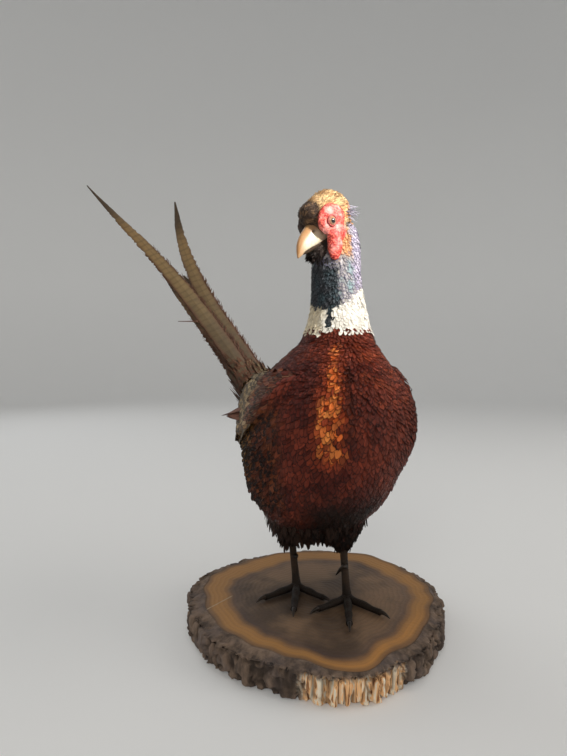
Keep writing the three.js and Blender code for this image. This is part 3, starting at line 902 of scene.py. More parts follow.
def body_markings(places, rng):
    """Copper breast, black-brown belly, golden spotted flanks and a pale-fringed grey-green rump, with
    painted sunlight and painted shade on the breast and the right flank.
    """
    z = places[:, 2]
    angle = bearing(places)
    patch = wobble(places, 22, 3)
    small = wobble(places, 8, 4)
    # painted light: the upper front of the breast is painted warmer where sunlight falls on it
    lit_warmth = ease(-14, 8, angle) * ease(45, 22, angle) * ease(205, 265, z)
    # painted shadow: a narrow dark line down the breast, just beside the sunlit strip towards the bird's left
    painted_shadow_line = ease(4.0, 1.8, np.abs(angle + 13)) * ease(202, 214, z) * ease(276, 262, z)
    tint = layered(
        mottle("7d3421", "551d13", ease(-0.45, 0.5, patch + 0.5 * small)),
        # painted light: the front and the bird's left side are painted lighter, on the side the sunlight
        # comes from
        ("8e4430", 0.5 * ease(-8, 25, angle) * ease(100, 70, angle)),
        ("86301a", 0.5 * lit_warmth * ease(-0.3, 0.3, small + 0.2)),
        ("1d0906", 0.92 * painted_shadow_line))
    # painted light: a narrow strip of sunlight down the breast, painted as bright copper feathers with a few
    # dark ones
    sunlit_strip_right = -19.5 + 3.5 * ease(225, 195, z)
    sunlit_strip_half = 3.6 + 2.6 * ease(250, 238, z) + 2.2 * ease(208, 200, z) - 2.5 * ease(196, 188, z)
    sunlit_strip = ease(sunlit_strip_half + 1.6, sunlit_strip_half - 1.2, np.abs(angle - sunlit_strip_right + sunlit_strip_half))
    sunlit_strip = sunlit_strip * ease(185, 195, z + 5 * small) * ease(290, 277, z) * ease(-0.6, 0.0, small)
    copper = mottle("ff9a4e", "e6662a", rng.uniform(0, 1, len(z)))
    copper = layered(copper, ("8a3014", 0.8 * (rng.uniform(0, 1, len(z)) < 0.16)))
    # painted light: a warm orange glow round the sunlit strip
    painted_glow = ease(15, 6, np.abs(angle + 24)) * ease(174, 194, z) * ease(285, 258, z)
    # painted highlights: orange-red flecks on the sunlit upper breast
    painted_highlight = ease(-0.05, 0.4, small) * ease(-12, 6, angle) * ease(62, 36, angle) * ease(210, 248, z)
    flank = ease(50, 66, np.where(angle < 0, -angle, angle - 6)) * ease(118, 140, z) * ease(246, 222, z)
    flank = flank * ease(138, 112, np.abs(angle))
    brown = mottle("6c3a1e", "522614", ease(-0.3, 0.4, small))
    gold = ease(78, 100, np.abs(angle)) * ease(150, 185, z + 12 * small)
    rear = ease(105, 140, np.abs(angle))
    rump = rear * ease(245, 220, z) * ease(150, 172, z)
    vent = rear * ease(172, 150, z)
    mantle = rear * ease(215, 240, z)
    below_collar = ease(32, 44, angle) * ease(98, 84, angle) * ease(284, 292, z)
    belly = np.maximum(
        ease(112, 92, z + 12 * patch), ease(58, 22, np.abs(angle + 2)) * ease(170, 128, z + 10 * patch))
    # painted shade: darker brown low down on the bird's right side, away from the light
    low = ease(-28, -50, angle) * ease(138, 108, z + 8 * patch)
    tint = layered(
        tint,
        # the painted sunlit strip
        (copper, 0.96 * sunlit_strip),
        ("a8431c", 0.55 * painted_glow * (1 - sunlit_strip)),
        ("b45430", 0.6 * painted_highlight),
        (layered(brown, ("8f6a36", gold)), 0.85 * flank),
        ("66694e", 0.85 * rump),
        (mottle("4a2c1a", "2c1a11", ease(-0.3, 0.4, small)), 0.9 * vent),
        (mottle("b07434", "8a4822", ease(-0.3, 0.4, small)), 0.85 * mantle),
        ("1b1f1a", 0.9 * below_collar),
        ("130b08", 0.95 * belly),
        ("33211a", 0.75 * low * (1 - belly)))
    rim = layered(
        np.broadcast_to(paint("2e100b"), tint.shape),
        ("1c100a", flank), ("5a3220", 0.8 * rump), ("2a140a", mantle), ("0b0605", belly))
    extent = 0.25 + 0.1 * patch - 0.05 * sunlit_strip - 0.08 * flank + 0.1 * mantle
    spot = 0.95 * flank * (rng.uniform(0, 1, len(z)) < 0.75)
    spot = np.maximum(spot, 0.9 * mantle * (rng.uniform(0, 1, len(z)) < 0.6)) * (1 - belly)
    tint = tint * rng.uniform(0.7, 1.2, len(z))[:, None]
    gloss = (0.55 + 0.45 * sunlit_strip) * (1 - belly) * (1 - 0.6 * rear)
    return tint, rim, extent, gloss, spot


def ring_top(angle):
    """Height of the white collar's upper edge round the neck, with a dark notch in front."""
    rise = 318 + 6 * ease(-30, -10, angle) + 14 * ease(-8, 40, angle) - 10 * ease(100, 160, angle)
    rise = rise + 5 * ease(-75, -110, angle)
    return rise - 21 * ease(6.5, 2.5, np.abs(angle + 40))


def neck_markings(places, rng):
    """The white collar, then blue-black in front and a painted sheen of lilac grey on the sides, with painted
    shade on the right.
    """
    z = places[:, 2]
    angle = bearing(places)
    patch = wobble(places, 9, 7)
    small = wobble(places, 4, 8)
    # painted sheen: sunlight reflected off the neck's sides, painted as pale grey and lilac where the lower
    # and upper masks reach
    lower = ease(-26, -12, angle + 5 * small) * ease(322, 330, z)
    upper = ease(-112, -96, angle + 9 * small) * ease(358, 364, z + 3 * small)
    side = np.maximum(lower, upper) * ease(165, 120, angle)
    side = np.maximum(side, 0.8 * ease(-105, -125, angle) * ease(-165, -140, angle) * ease(330, 345, z))
    lilac = mottle("d2c8d6", "b0a5bb", ease(-0.3, 0.3, small))
    grey = layered(
        mottle("b4aeac", "8ea6a4", ease(-0.05, 0.45, patch)),
        # painted shade: the grey sheen is darker on the bird's right side
        ("7c756c", ease(-0.1, 0.3, small) * ease(0, -30, angle)),
        (lilac, ease(8, 30, angle + 12 * small)))
    ear = ease(366, 376, z + 3 * small) * ease(24, 10, angle + 8 * small) * ease(-30, -10, angle)
    # painted shadow: the head's shadow darkens the upper neck on the bird's right side, under the chin
    chin = ease(352, 362, z) * ease(-18, -34, angle) * ease(-120, -100, angle) * ease(-0.1, 0.3, small + 0.3)
    white = ease(0, 3, ring_top(angle) + 6 + 3 * patch + 2 * small - z)
    # painted shade: the white collar turns beige on the bird's right side, away from the light
    ivory = mottle("f4efe4", "e0cda4", 0.8 * ease(-42, -66, angle + 10 * patch))
    tint = layered(
        mottle("3b3d41", "37474d", ease(-0.4, 0.5, patch)),
        (grey, 0.95 * side), ("d89a66", 0.9 * ear), ("1d1614", 0.8 * chin), (ivory, white))
    # rims: lilac grey under the painted sheen, orange-brown on the ear and pale on the collar
    rim = layered(
        np.broadcast_to(paint("10141a"), tint.shape), ("77748a", side), ("a0683e", ear), ("e8dfcd", white))
    shades = rng.uniform(0.75, 1.15, len(z))[:, None]
    tint = tint * np.where(white[:, None] > 0.5, 0.9 + 0.1 * shades, shades)
    return tint, rim, 0.28 - 0.15 * white, white > 0.5


def head_markings(places, rng):
    """Golden-bronze crown, black-brown face and chin, orange-brown ear and lilac nape."""
    y, z = moved(places, ROW_TO_HEAD)[:, 1:].T
    patch = wobble(places, 6, 11)
    small = wobble(places, 2.5, 12)
    blotch = ease(0.0, 0.4, small)
    face = ease(-8, -12.5, y + 2.5 * patch - 0.25 * (z - 12))
    nape = ease(20, 28, y) * ease(3, -7, z)
    ear = ease(8, 13, y) * ease(30, 24, y) * ease(9, 3, z) * ease(-24, -17, z)
    throat = ease(-9, -14, z) * ease(16, 8, y)
    tint = layered(
        mottle("e2bc88", "a87c4e", ease(0.0, 0.5, patch + 0.6 * small)),
        (mottle("48362a", "8a6a4c", blotch), face),
        ("b9aec8", 0.8 * nape),
        (mottle("e0a470", "a87048", blotch), ear),
        (mottle("382b25", "54463c", blotch), throat))
    return tint * rng.uniform(0.55, 1.3, len(z))[:, None], tint * 0.55, 0.3


def wing_markings(places, rng):
    """Tan and grey scapulars with dark chevrons, greyer towards the tail."""
    y = places[:, 1]
    patch = wobble(places, 14, 19)
    blotch = ease(-0.3, 0.4, patch)
    front = ease(4, -20, y + 12 * patch)
    fringe = ease(11, 4, np.abs(y + 2 + 12 * patch))
    tint = layered(
        mottle("a3875a", "735838", ease(-0.4, 0.5, patch + 0.5 * wobble(places, 6, 20))),
        ("b3a07a", 0.65 * fringe),
        (mottle("6e301c", "50220f", blotch), 0.95 * front),
        ("6c6a58", 0.6 * ease(40, 90, y)))
    rim = layered(mottle("33231a", "4c3020", blotch), ("2a120c", front))
    return tint * rng.uniform(0.65, 1.25, len(y))[:, None], rim, 0.24


# ---------------------------------------------------------------- settings a user would change

class PheasantSizes(bpy.types.PropertyGroup):
    """Depths and densities of the coat."""

    coat_depth: bpy.props.FloatProperty(
        name="Coat depth", description="Depth of the plumage over the skin of the trunk",
        default=0.0035, min=0.001, max=0.008, subtype="DISTANCE", unit="LENGTH")
    head_depth: bpy.props.FloatProperty(
        name="Head coat depth", description="Depth of the short feathers of the head",
        default=0.0012, min=0.0005, max=0.003, subtype="DISTANCE", unit="LENGTH")
    density: bpy.props.FloatProperty(
        name="Feather density", description="Rows of feathers against the usual number",
        default=1.0, min=0.5, max=1.5)


class PheasantColours(bpy.types.PropertyGroup):
    """Colours of the bare parts and of the room."""

    iris: bpy.props.FloatVectorProperty(
        name="Iris", description="Colour of the eye's iris", subtype="COLOR", size=4,
        default=shade("a8795a"), min=0, max=1)
    wattle: bpy.props.FloatVectorProperty(
        name="Wattle", description="Colour of the bare face", subtype="COLOR", size=4,
        default=shade("f0705c"), min=0, max=1)
    horn: bpy.props.FloatVectorProperty(
        name="Bill", description="Colour of the bill's horn", subtype="COLOR", size=4,
        default=shade("cfc2a6"), min=0, max=1)
    floor: bpy.props.FloatVectorProperty(
        name="Floor", description="Colour of the floor and wall", subtype="COLOR", size=4,
        default=shade("e2e2e0"), min=0, max=1)


def sizes():
    return bpy.context.scene.pheasant_sizes


def colours():
    return bpy.context.scene.pheasant_colours


# ---------------------------------------------------------------- the slice of trunk

def rim_radius(angle):
    along = angle - math.radians(90 - SLICE_TURN)
    oval = 1 / np.hypot(np.cos(along) / (SLICE_LENGTH / 2), np.sin(along) / (SLICE_WIDTH / 2))
    waves = 2.2 * np.sin(3 * angle + 0.6) + 1.6 * np.sin(5 * angle + 2.1)
    furrows = 1.3 * np.sin(19 * angle + 2 * np.sin(3 * angle))
    lobe = SLICE_LOBE * np.exp(-(((angle - math.radians(SLICE_LOBE_AT)) / 0.3) ** 2))
    return oval + waves + furrows + lobe - 3


def bark_width(angle):
    degrees = np.degrees(angle)
    dip = 14 * np.exp(-(((degrees - 258) / 10) ** 2)) + 8 * np.exp(-(((degrees - 38) / 16) ** 2))
    return 15 + 5 * np.cos(angle - math.radians(203)) - dip + 1.2 * np.sin(7 * angle + 1)


def sapwood_width(angle):
    return 23 + 7.5 * np.cos(angle - math.radians(85)) + 1.5 * np.sin(4 * angle)


def bark_relief(x, y, height):
    """Clefts from 0 to about 1 and lumps over the bark, which splits into upright ribs in front."""
    cleft, lump = np.zeros(len(x)), np.zeros(len(x))
    aside = np.abs(x * SPLIT_ACROSS[0] + y * SPLIT_ACROSS[1] - SPLIT_AT)
    splits = ease(44, 36, aside) * (y < -90)
    for i, (px, py, h, split) in enumerate(zip(x, y, height, splits)):
        warp = noise.noise_vector(Vector((px / 9, py / 9, h / 7))) * 0.45
        near = noise.voronoi(Vector((px / 15, py / 15, h / 26)) + warp)[0]
        fine = noise.noise(Vector((px / 3.2, py / 3.2, h / 9)))
        cleft[i] = ease(0.26, 0.02, near[1] - near[0]) * (0.7 + 0.5 * fine)
        lump[i] = 0.9 - near[0] + 0.5 * fine
        if split > 0:
            ribs = noise.voronoi(Vector((px / 7, py / 7, h / 60)) + warp * 0.4)[0]
            strand = noise.noise(Vector((px / 1.7, py / 1.7, h / 40)))
            cleft[i] += split * (ease(0.3, 0.02, ribs[1] - ribs[0]) * 0.7 - cleft[i])
            lump[i] += split * (0.9 - ribs[0] + 0.5 * strand - lump[i])
    return cleft, lump


class MakeSlice(bpy.types.Operator):
    """Make the slice of trunk with its sawn face and rough bark"""

    bl_idname = "pheasant.make_slice"
    bl_label = "Tree Slice"

    def execute(self, context):
        noise.seed_set(BARK_SEED)
        angle = np.linspace(0, TURN, SLICE_COLUMNS + 1)
        x, y = np.cos(angle), np.sin(angle)
        flat = np.ones(len(angle))
        rim = rim_radius(angle % TURN)
        bark = rim - bark_width(angle % TURN)
        rows = []
        for share in (*np.linspace(0.0, 0.94, 16), 0.97, 0.99, 1.0):
            rows.append((share * bark, (SLICE_THICKNESS - 0.3) * flat, share, 0.0))
        for share in (0.12, 0.26, 0.4, 0.54, 0.68, 0.82, 0.94):
            sunk = SLICE_THICKNESS - 0.3 - 2.2 * share
            rows.append((bark + (rim - 2.5 - bark) * share, sunk * flat, 1 + 0.1 * share, share))
        for share in np.linspace(0, 1, 21):
            tuck = 1.6 * np.abs(2 * share - 1) ** 4
            rows.append((rim - tuck, (24 - 22.4 * share) * flat, SIDE_RING, 1.0))
        for share in (0.9, 0.6, 0.0):
            rows.append((share * (rim - 4), 0 * flat, SIDE_RING, 0.2))
        grid, rings, clefts = [], [], []
        for radius, height, ring, roughness in rows:
            cleft, lump = 0 * flat, 0 * flat
            if roughness > 0:
                cleft, lump = bark_relief(radius * x, radius * y, height)
            swell = roughness * (2.0 * lump - 6.0 * cleft - 1.2)
            swell[-1] = swell[0]
            if ring == SIDE_RING and roughness > 0.5:
                radius = radius + np.clip(swell, -7.5, 1.2)
            elif ring >= 1 and roughness >= 0.3:
                height = height + np.clip(0.6 * swell, -4, 1.0)
            grid.append(np.stack([radius * x, radius * y, np.clip(height, 0, SLICE_THICKNESS)], -1))
            rings.append(ring * flat)
            clefts.append(cleft * roughness)
        heart = 1 - sapwood_width(angle % TURN) / bark
        bm = bmesh.new()
        wrap(bm, np.array(grid), ring=np.array(rings), heart=heart[None], cleft=np.array(clefts))
        outward(bm)
        finish_piece("tree_slice_dressed", bm, self.finish(), ("tree_slice",))
        return {"FINISHED"}

    def finish(self):
        recipe = Recipe("sawn wood and bark", 0.75)
        ring, heart, cleft = (recipe.value(name) for name in ("ring", "heart", "cleft"))
        x, y, z = recipe.split(recipe.place())
        cloud = recipe.speckle(22.0, 4.0) - 0.5
        fine = recipe.speckle(260.0) - 0.5
        growth = (ring * 150.0 + cloud * 6.0).sine()
        heartwood = recipe.over(
            recipe.mottle(recipe.speckle(16.0, 4.0, 0.6).between(0.36, 0.64), "4e3b2b", "86694e"),
            (growth.between(0.2, 1.0) * 0.14, "3f3229"),
            # painted shadow: the middle of the sawn face is darkened where the bird's shadow falls
            ((1 - ring.between(0.15, 0.6)) * 0.45, "33281e"),
            ((ring + cloud * 0.08 - heart).between(-0.16, 0.0) * 0.5, "4a3836"))
        lit = (y * -1).between(0.05, 0.12) * (x + 0.07).between(0.0, 0.05)
        sapwood = recipe.over(
            recipe.mottle(lit, "a8783e", "c58a46"),
            (growth.between(0.0, 1.0) * 0.14, "6f5136"),
            ((ring + cloud * 0.06).between(0.93, 1.0) * 0.7, "5b4433"),
            (cloud.between(0.05, 0.3) * 0.4, "6a5340"))
        sap = (ring + cloud * 0.09 + fine * 0.02 - heart).between(-0.06, 0.06)
        across = ((x + 0.116) * 24.8 - (y - 0.0043) * 37.6) / 45.0
        along = ((x + 0.116) * 37.6 + (y - 0.0043) * 24.8) / 45.0
        crack = 1 - (across.size() + fine * 0.0008).between(0.0003, 0.0013)
        crack = crack * along.between(0.0, 0.004) * (1 - along.between(0.04, 0.046))
        wood = recipe.over(recipe.mix(sap, heartwood, sapwood), (crack * 0.75, "b59f80"))
        grain = recipe.speckle(90.0, 5.0, 0.65, Scale=(1.0, 1.0, 0.3))
        # painted light: the bark's front band, where it splits into upright fibrous ribs, is painted pale and
        # bright as a strip of sunlight
        aside = x * SPLIT_ACROSS[0] + y * SPLIT_ACROSS[1] - SPLIT_AT * MM
        front = (1 - (aside + fine * 0.014).size().between(0.036, 0.046)) * (1 - y.between(-0.11, -0.09))
        front = front * (1 - (z + fine * 0.008).between(0.0195, 0.0245))
        fibre = recipe.speckle(330.0, 3.0, 0.6, Scale=(1.0, 1.0, 0.07))
        # the pale, sunlit colour of the bark's front band
        pale = recipe.over(
            recipe.mottle(fibre.between(0.34, 0.46), "8a5630", "ffc88e"),
            (fibre.between(0.48, 0.58), "fff0d6"))
        bark = recipe.over(
            recipe.mottle(grain.between(0.32, 0.68), "463930", "86705e"),
            (recipe.speckle(34.0).between(0.45, 0.7) * 0.5, "6b5f5c"))
        # the front band's painted sunlight over the bark, and painted shade darkening the bark's clefts
        bark = recipe.over(recipe.mix(front, bark, pale), (cleft.between(0.2, 0.9) * 0.8, "2a2019"))
        is_bark = (ring + fine * 0.01).between(0.996, 1.01)
        relief = (1 - is_bark) * (growth * 0.06 + fine * 0.3) + is_bark * grain * 1.6
        relief = relief - crack * 0.4 + front * fibre * 1.4
        colour = recipe.mix(is_bark, wood, bark)
        roughness = 0.62 + is_bark * 0.25 + fine * 0.1
        return recipe.done(colour, roughness, relief, distance=0.0016, strength=0.8)


# ---------------------------------------------------------------- skin and feathers

class MakeSkin(bpy.types.Operator):
    """Make the one skin that lies under the whole coat"""

    bl_idname = "pheasant.make_skin"
    bl_label = "Skin"

    def execute(self, context):
        bm = flesh_shape(sizes().coat_depth / MM, sizes().head_depth / MM)
        mesh = remeshed(bm, SKIN_VOXEL, rounds=8)
        faces = [tuple(face.vertices) for face in mesh.polygons]
        COAT["bvh"] = BVHTree.FromPolygons([tuple(p) for p in points_of(mesh)], faces)
        COAT["mesh"] = mesh
        finish_piece("skin", mesh, self.finish(), FLESH)
        return {"FINISHED"}

    def finish(self):
        recipe = Recipe("skin under the feathers", 0.85)
        mottle = recipe.speckle(500.0, 2.0)
        colour = recipe.over(recipe.value("tint", "Color"), (mottle.between(0.3, 0.7) * 0.5, "0b0706"))
        return recipe.done(colour, height=mottle, distance=0.0004, strength=0.6)


class GrowBody(bpy.types.Operator):
    """Grow the scale-like feathers of the breast, flanks, belly and back"""

    bl_idname = "pheasant.grow_body"
    bl_label = "Body Feathers"

    def execute(self, context):
        rng = np.random.default_rng(5)
        grid = body_grid(BELLY_HEIGHT + 1, COLLAR_BOTTOM + 9, 90, 120)
        pitch = BODY_PITCH / sizes().density
        roots = sow(grid, lambda ring: pitch * BODY_VANES.at(ring[0, 2]), seed=1, wide=1.15, jitter=0.3)
        roots = uncovered(roots, slack=2.2)
        length = BODY_VANES.at(roots.places[:, 2])
        tint, rim, extent, gloss, spot = body_markings(roots.places, rng)
        finish = feather_finish("copper plumage", roughness=0.42, metallic=0.55, barbs=46.0)
        ahead = np.abs(bearing(roots.places)) < 90
        for number, (name, chosen) in enumerate((("breast_feathers", ahead), ("back_feathers", ~ahead))):
            kept = roots.keep(chosen)
            marks = Marks(
                tint[chosen], rim[chosen], extent[chosen], gloss=gloss[chosen], spot=spot[chosen])
            grow(
                name, "body_feathers", finish, "scale", kept, lie_of_body, length[chosen],
                0.55 * length[chosen], puff(kept.places), marks, seed=70 + number, tilt=0.02, stray=0.14)
        return {"FINISHED"}


class GrowNeck(bpy.types.Operator):
    """Grow the small glossy feathers of the neck and of the white collar"""

    bl_idname = "pheasant.grow_neck"
    bl_label = "Neck and Collar Feathers"

    def execute(self, context):
        rng = np.random.default_rng(6)
        grid = body_grid(COLLAR_BOTTOM - 1, NECK_TOP - 2, 60, 80)
        roots = sow(grid, lambda ring: NECK_PITCHES.at(ring[0, 2]), seed=2, wide=1.1, jitter=0.3)
        roots = uncovered(roots)
        roots = roots.keep(roots.places[:, 2] > COLLAR_BOTTOM + 4.5 + 6 * wobble(roots.places, 6, 5))
        length = NECK_VANES.at(roots.places[:, 2])
        lift = NECK_LIFTS.at(roots.places[:, 2])
        tint, rim, extent, white = neck_markings(roots.places, rng)
        dark_finish = feather_finish("glossy neck plumage", roughness=0.5, metallic=0.15, barbs=30.0)
        white_finish = feather_finish("white plumage", roughness=0.7, barbs=30.0, shine=0.2)
        parts = (
            ("neck_feathers", ~white, "head_feathers", dark_finish),
            ("collar_feathers", white, "collar_feathers", white_finish),
        )
        for name, chosen, slot, finish in parts:
            kept = roots.keep(chosen)
            marks = Marks(tint[chosen], rim[chosen], extent[chosen])
            grow(
                name, slot, finish, "small", kept, lie_of_body, length[chosen], 0.44 * length[chosen],
                lift[chosen], marks, seed=22, tilt=0.015, stray=0.1)
        return {"FINISHED"}


class GrowHead(bpy.types.Operator):
    """Grow the short feathers of the head and the tuft behind each ear"""

    bl_idname = "pheasant.grow_head"
    bl_label = "Head Feathers"

    def execute(self, context):
        rng = np.random.default_rng(7)
        gathered = []
        for i, grid in enumerate((skull_grid(40, 72), *head_balls())):
            roots = sow(moved(grid, HEAD_TO_ROW), lambda ring: 1.3, seed=30 + i, wide=1.0, jitter=0.35)
            roots.along = (roots.along + i) / 3
            gathered.append(roots)
        roots = uncovered(joined(gathered), slack=0.3)
        x, y, z = moved(roots.places, ROW_TO_HEAD).T
        pitch = math.radians(HEAD_PITCH)
        down = -(z + 21) * math.cos(pitch) - (y + 13) * math.sin(pitch)
        fore = (y + 13) * math.cos(pitch) - (z + 21) * math.sin(pitch)
        disc = np.hypot((y + 4) / 16.2, (z + 1) / 14.2)
        lobe = np.hypot(fore / 7.6, down / 15)
        waist = np.hypot((y + 4.5) / 10, (z + 14) / 9)
        bare = ((disc < 1) | (lobe < 1) | (waist < 1)) & (np.abs(x) > 7)
        mouth = (y < -15) & (z < 5) & (z > -14.5)
        roots = roots.keep(~bare & ~mouth)
        length = 4.2 + 4.2 * ease(-8, 12, moved(roots.places, ROW_TO_HEAD)[:, 1])
        tint, rim, extent = head_markings(roots.places, rng)
        finish = feather_finish("short head plumage", roughness=0.5, metallic=0.1, barbs=14.0, shine=0.35)
        grow(
            "head_feathers", "head_feathers", finish, "down", roots, lie_of_head, length, 0.3 * length, 0.9,
            Marks(tint, rim, extent), seed=23, tilt=0.06, stray=0.2)
        self.beard(rng, finish)
        self.tufts(rng)
        return {"FINISHED"}

    def beard(self, rng, finish):
        """Short feathers of the chin that stand forward under the bill."""
        throat = moved(head_balls()[1], HEAD_TO_ROW)
        roots = sow(throat, lambda ring: 1.7, seed=34, wide=1.0, jitter=0.35)
        y, z = moved(roots.places, ROW_TO_HEAD)[:, 1:].T
        roots = roots.keep((y < -25) & (z < -17) & (z > -27))
        count = len(roots.places)
        tint = mottle("3a2d27", "1e1714", rng.uniform(0, 1, count))
        length = rng.uniform(4.5, 8.5, count)
        grow(
            "chin_feathers", "head_feathers", finish, "down", roots, lie_of_beard, length, 2.0, 0.2,
            Marks(tint, tint * 0.6, 0.3), seed=35, tilt=0.05, stray=0.16, hang=True)

    def tufts(self, rng):
        """Fine hairs that point back and up from behind each ear."""
        bm = bmesh.new()
        for side in SIDES:
            tip = Matrix.Translation((side * 14.3, 20.3, -6.5)) @ Matrix.Rotation(
                math.radians(-38), 4, "X") @ Matrix.Rotation(math.radians(-side * 22), 4, "Z")
            for _ in range(64):
                spread = rng.normal(0, 2.2, 2)
                bend = rng.normal(0, 3.8, 2)
                reach = rng.uniform(0.55, 1.0)
                stations = []
                for t in (0.0, 0.35, 0.7, 1.0):
                    place = tip @ Vector((
                        0.7 * spread[0] + bend[0] * t * t, -11 + 22 * t * reach, spread[1] + bend[1] * t * t))
                    stations.append((*place, 0.5 * (1 - 0.85 * t) + 0.07, 0.18 * (1 - 0.6 * t) + 0.04))
                wrap(bm, capped(moved(limb_grid(stations, 5, 6), HEAD_TO_ROW)), pale=rng.uniform(0, 1))
        outward(bm)
        recipe = Recipe("ear tuft", 0.6)
        speckle = recipe.speckle(300.0, 2.0)
        tone = recipe.mottle(recipe.value("pale").between(0.25, 0.5), "4a4653", "c3bdce")
        finish = recipe.done(recipe.over(tone, (speckle.between(0.4, 0.7) * 0.5, "8c86a0")))
        finish_piece("ear_tufts", bm, finish, ("ear_tuft_right", "ear_tuft_left"))


class GrowThighs(bpy.types.Operator):
    """Grow the soft dark feathers of the thighs and the loose ones that hang round them"""

    bl_idname = "pheasant.grow_thighs"
    bl_label = "Thigh Feathers"

    def execute(self, context):
        rng = np.random.default_rng(8)
        finish = feather_finish("soft thigh plumage", roughness=0.7, barbs=20.0, shine=0.15)
        for side, word in SIDES.items():
            grid = limb_grid(thigh_stations(side), 20, 40)[::-1]
            roots = uncovered(sow(grid, lambda ring: 3.6, seed=40 + side))
            length = THIGH_VANES.at(roots.places[:, 2])
            tint = mottle("2b1a11", "150d0a", rng.uniform(0, 1, len(length)))
            grow(
                "thigh_feathers_" + word, "body_feathers", finish, "soft", roots, lie_down, length,
                0.5 * length, 2.6, Marks(tint, tint * 0.5, 0.3), seed=24 + side, tilt=0.04, stray=0.15)
        self.loose(rng, finish)
        return {"FINISHED"}

    def loose(self, rng, finish):
        """The soft feathers that hang from the belly and the tops of the thighs."""
        belly = body_grid(BELLY_HEIGHT + 2, BELLY_HEIGHT + 26, 20, 90)
        groups = [uncovered(sow(belly, lambda ring: 5.5, seed=43, wide=1.15, jitter=0.4))]
        for side in SIDES:
            top = limb_grid(thigh_stations(side), 20, 40)[:9]
            groups.append(uncovered(sow(top, lambda ring: 3.4, seed=44 + side, wide=1.1, jitter=0.4)))
        roots = joined(groups)
        count = len(roots.places)
        reach = np.concatenate([np.full(len(g.places), r) for g, r in zip(groups, (1.0, 1.0, 0.55))])
        length = rng.uniform(7, 14, count) * reach
        tint = mottle("2e1c13", "120b08", rng.uniform(0, 1, count))
        tint = layered(
            tint, ("35231a", ease(-35, -60, bearing(roots.places)) * rng.uniform(0.4, 1.0, count)))
        grow(
            "loose_belly_feathers", "body_feathers", finish, "soft", roots, lie_down, length,
            0.42 * length, 1.2, Marks(tint, tint * 0.5, 0.3), seed=48, tilt=0.05, stray=0.22, hang=True)


class GrowWings(bpy.types.Operator):
    """Grow the coverts and lay the long flight feathers of both folded wings"""

    bl_idname = "pheasant.grow_wings"
    bl_label = "Wing Feathers"

    def execute(self, context):
        rng = np.random.default_rng(9)
        for side, word in SIDES.items():
            grid = wing_grid(side, WING_ROWS, WING_COLUMNS)
            roots = uncovered(sow(grid, lambda ring: 5.0, seed=50 + side))
            outer = (roots.around > 0.01) & (roots.around < 0.45) & (roots.along < 0.74 - 0.35 * roots.around)
            roots = roots.keep(outer)
            y = roots.places[:, 1]
            length = WING_VANES.at(y)
            tint, rim, extent = wing_markings(roots.places, rng)
            spot = 0.8 * (rng.uniform(0, 1, len(y)) < 0.6)
            marks = Marks(tint, rim, extent, quill=0.3, shaft="c9b88e", spot=spot)
            finish = feather_finish("wing covert plumage " + word, roughness=0.55, barbs=40.0, shine=0.3)
            grow(
                "wing_coverts_" + word, "wing_feathers", finish, "scale", roots, lie_of_wing, length,
                0.55 * length, WING_LIFTS.at(y), marks, seed=26 + side, tilt=0.02)
            self.flight(grid, side, word, rng)
            if side < 0:
                self.ruffled(roots, finish, rng)
        return {"FINISHED"}

    def ruffled(self, roots, finish, rng):
        """The few rufous feathers that stand out behind the right wing."""
        roots = roots.keep(np.linalg.norm(roots.places - RUFFLED_AT, axis=1) < RUFFLED_RADIUS)
        count = len(roots.places)
        tint = mottle("8c6454", "5a382c", rng.uniform(0, 1, count))
        length = rng.uniform(13, 20, count)
        grow(
            "ruffled_wing_feathers", "wing_feathers", finish, "lancet", roots, lie_of_ruffled, length,
            5.5, 0.6, Marks(tint, tint * 0.6, 0.25), seed=37, tilt=0.02, stray=0.1, hang=True)

    def flight(self, grid, side, word, rng):
        """The long quills, fanned from the wing's middle to its rear edge."""
        count = 14
        rank = np.linspace(0, 1, count)
        row = np.round(WING_ROWS * (0.3 + 0.26 * rank)).astype(int)
        column = np.round(WING_COLUMNS * (0.44 - 0.38 * rank)).astype(int)
        roots = Roots(grid[row, column], column / WING_COLUMNS, row / WING_ROWS)
        tint = mottle("8f7c5c", "736248", rng.uniform(0, 1, count))
        marks = Marks(tint, paint("3f3020"), 0.1, bars=8.0, quill=1.0, shaft="b8a880")
        finish = feather_finish("flight plumage " + word, roughness=0.5, barbs=120.0, shine=0.3)
        grow(
            "flight_feathers_" + word, "wing_feathers", finish, "quill", roots, lie_of_wing, 96 - 22 * rank,
            15.0, np.linspace(1.2, 4.2, count), marks, seed=28 + side, stray=0.02)


def past_tail_root(places):
    return (places - np.array(TAIL_ROOT)) @ lie_of_tail(places[:1])[0]


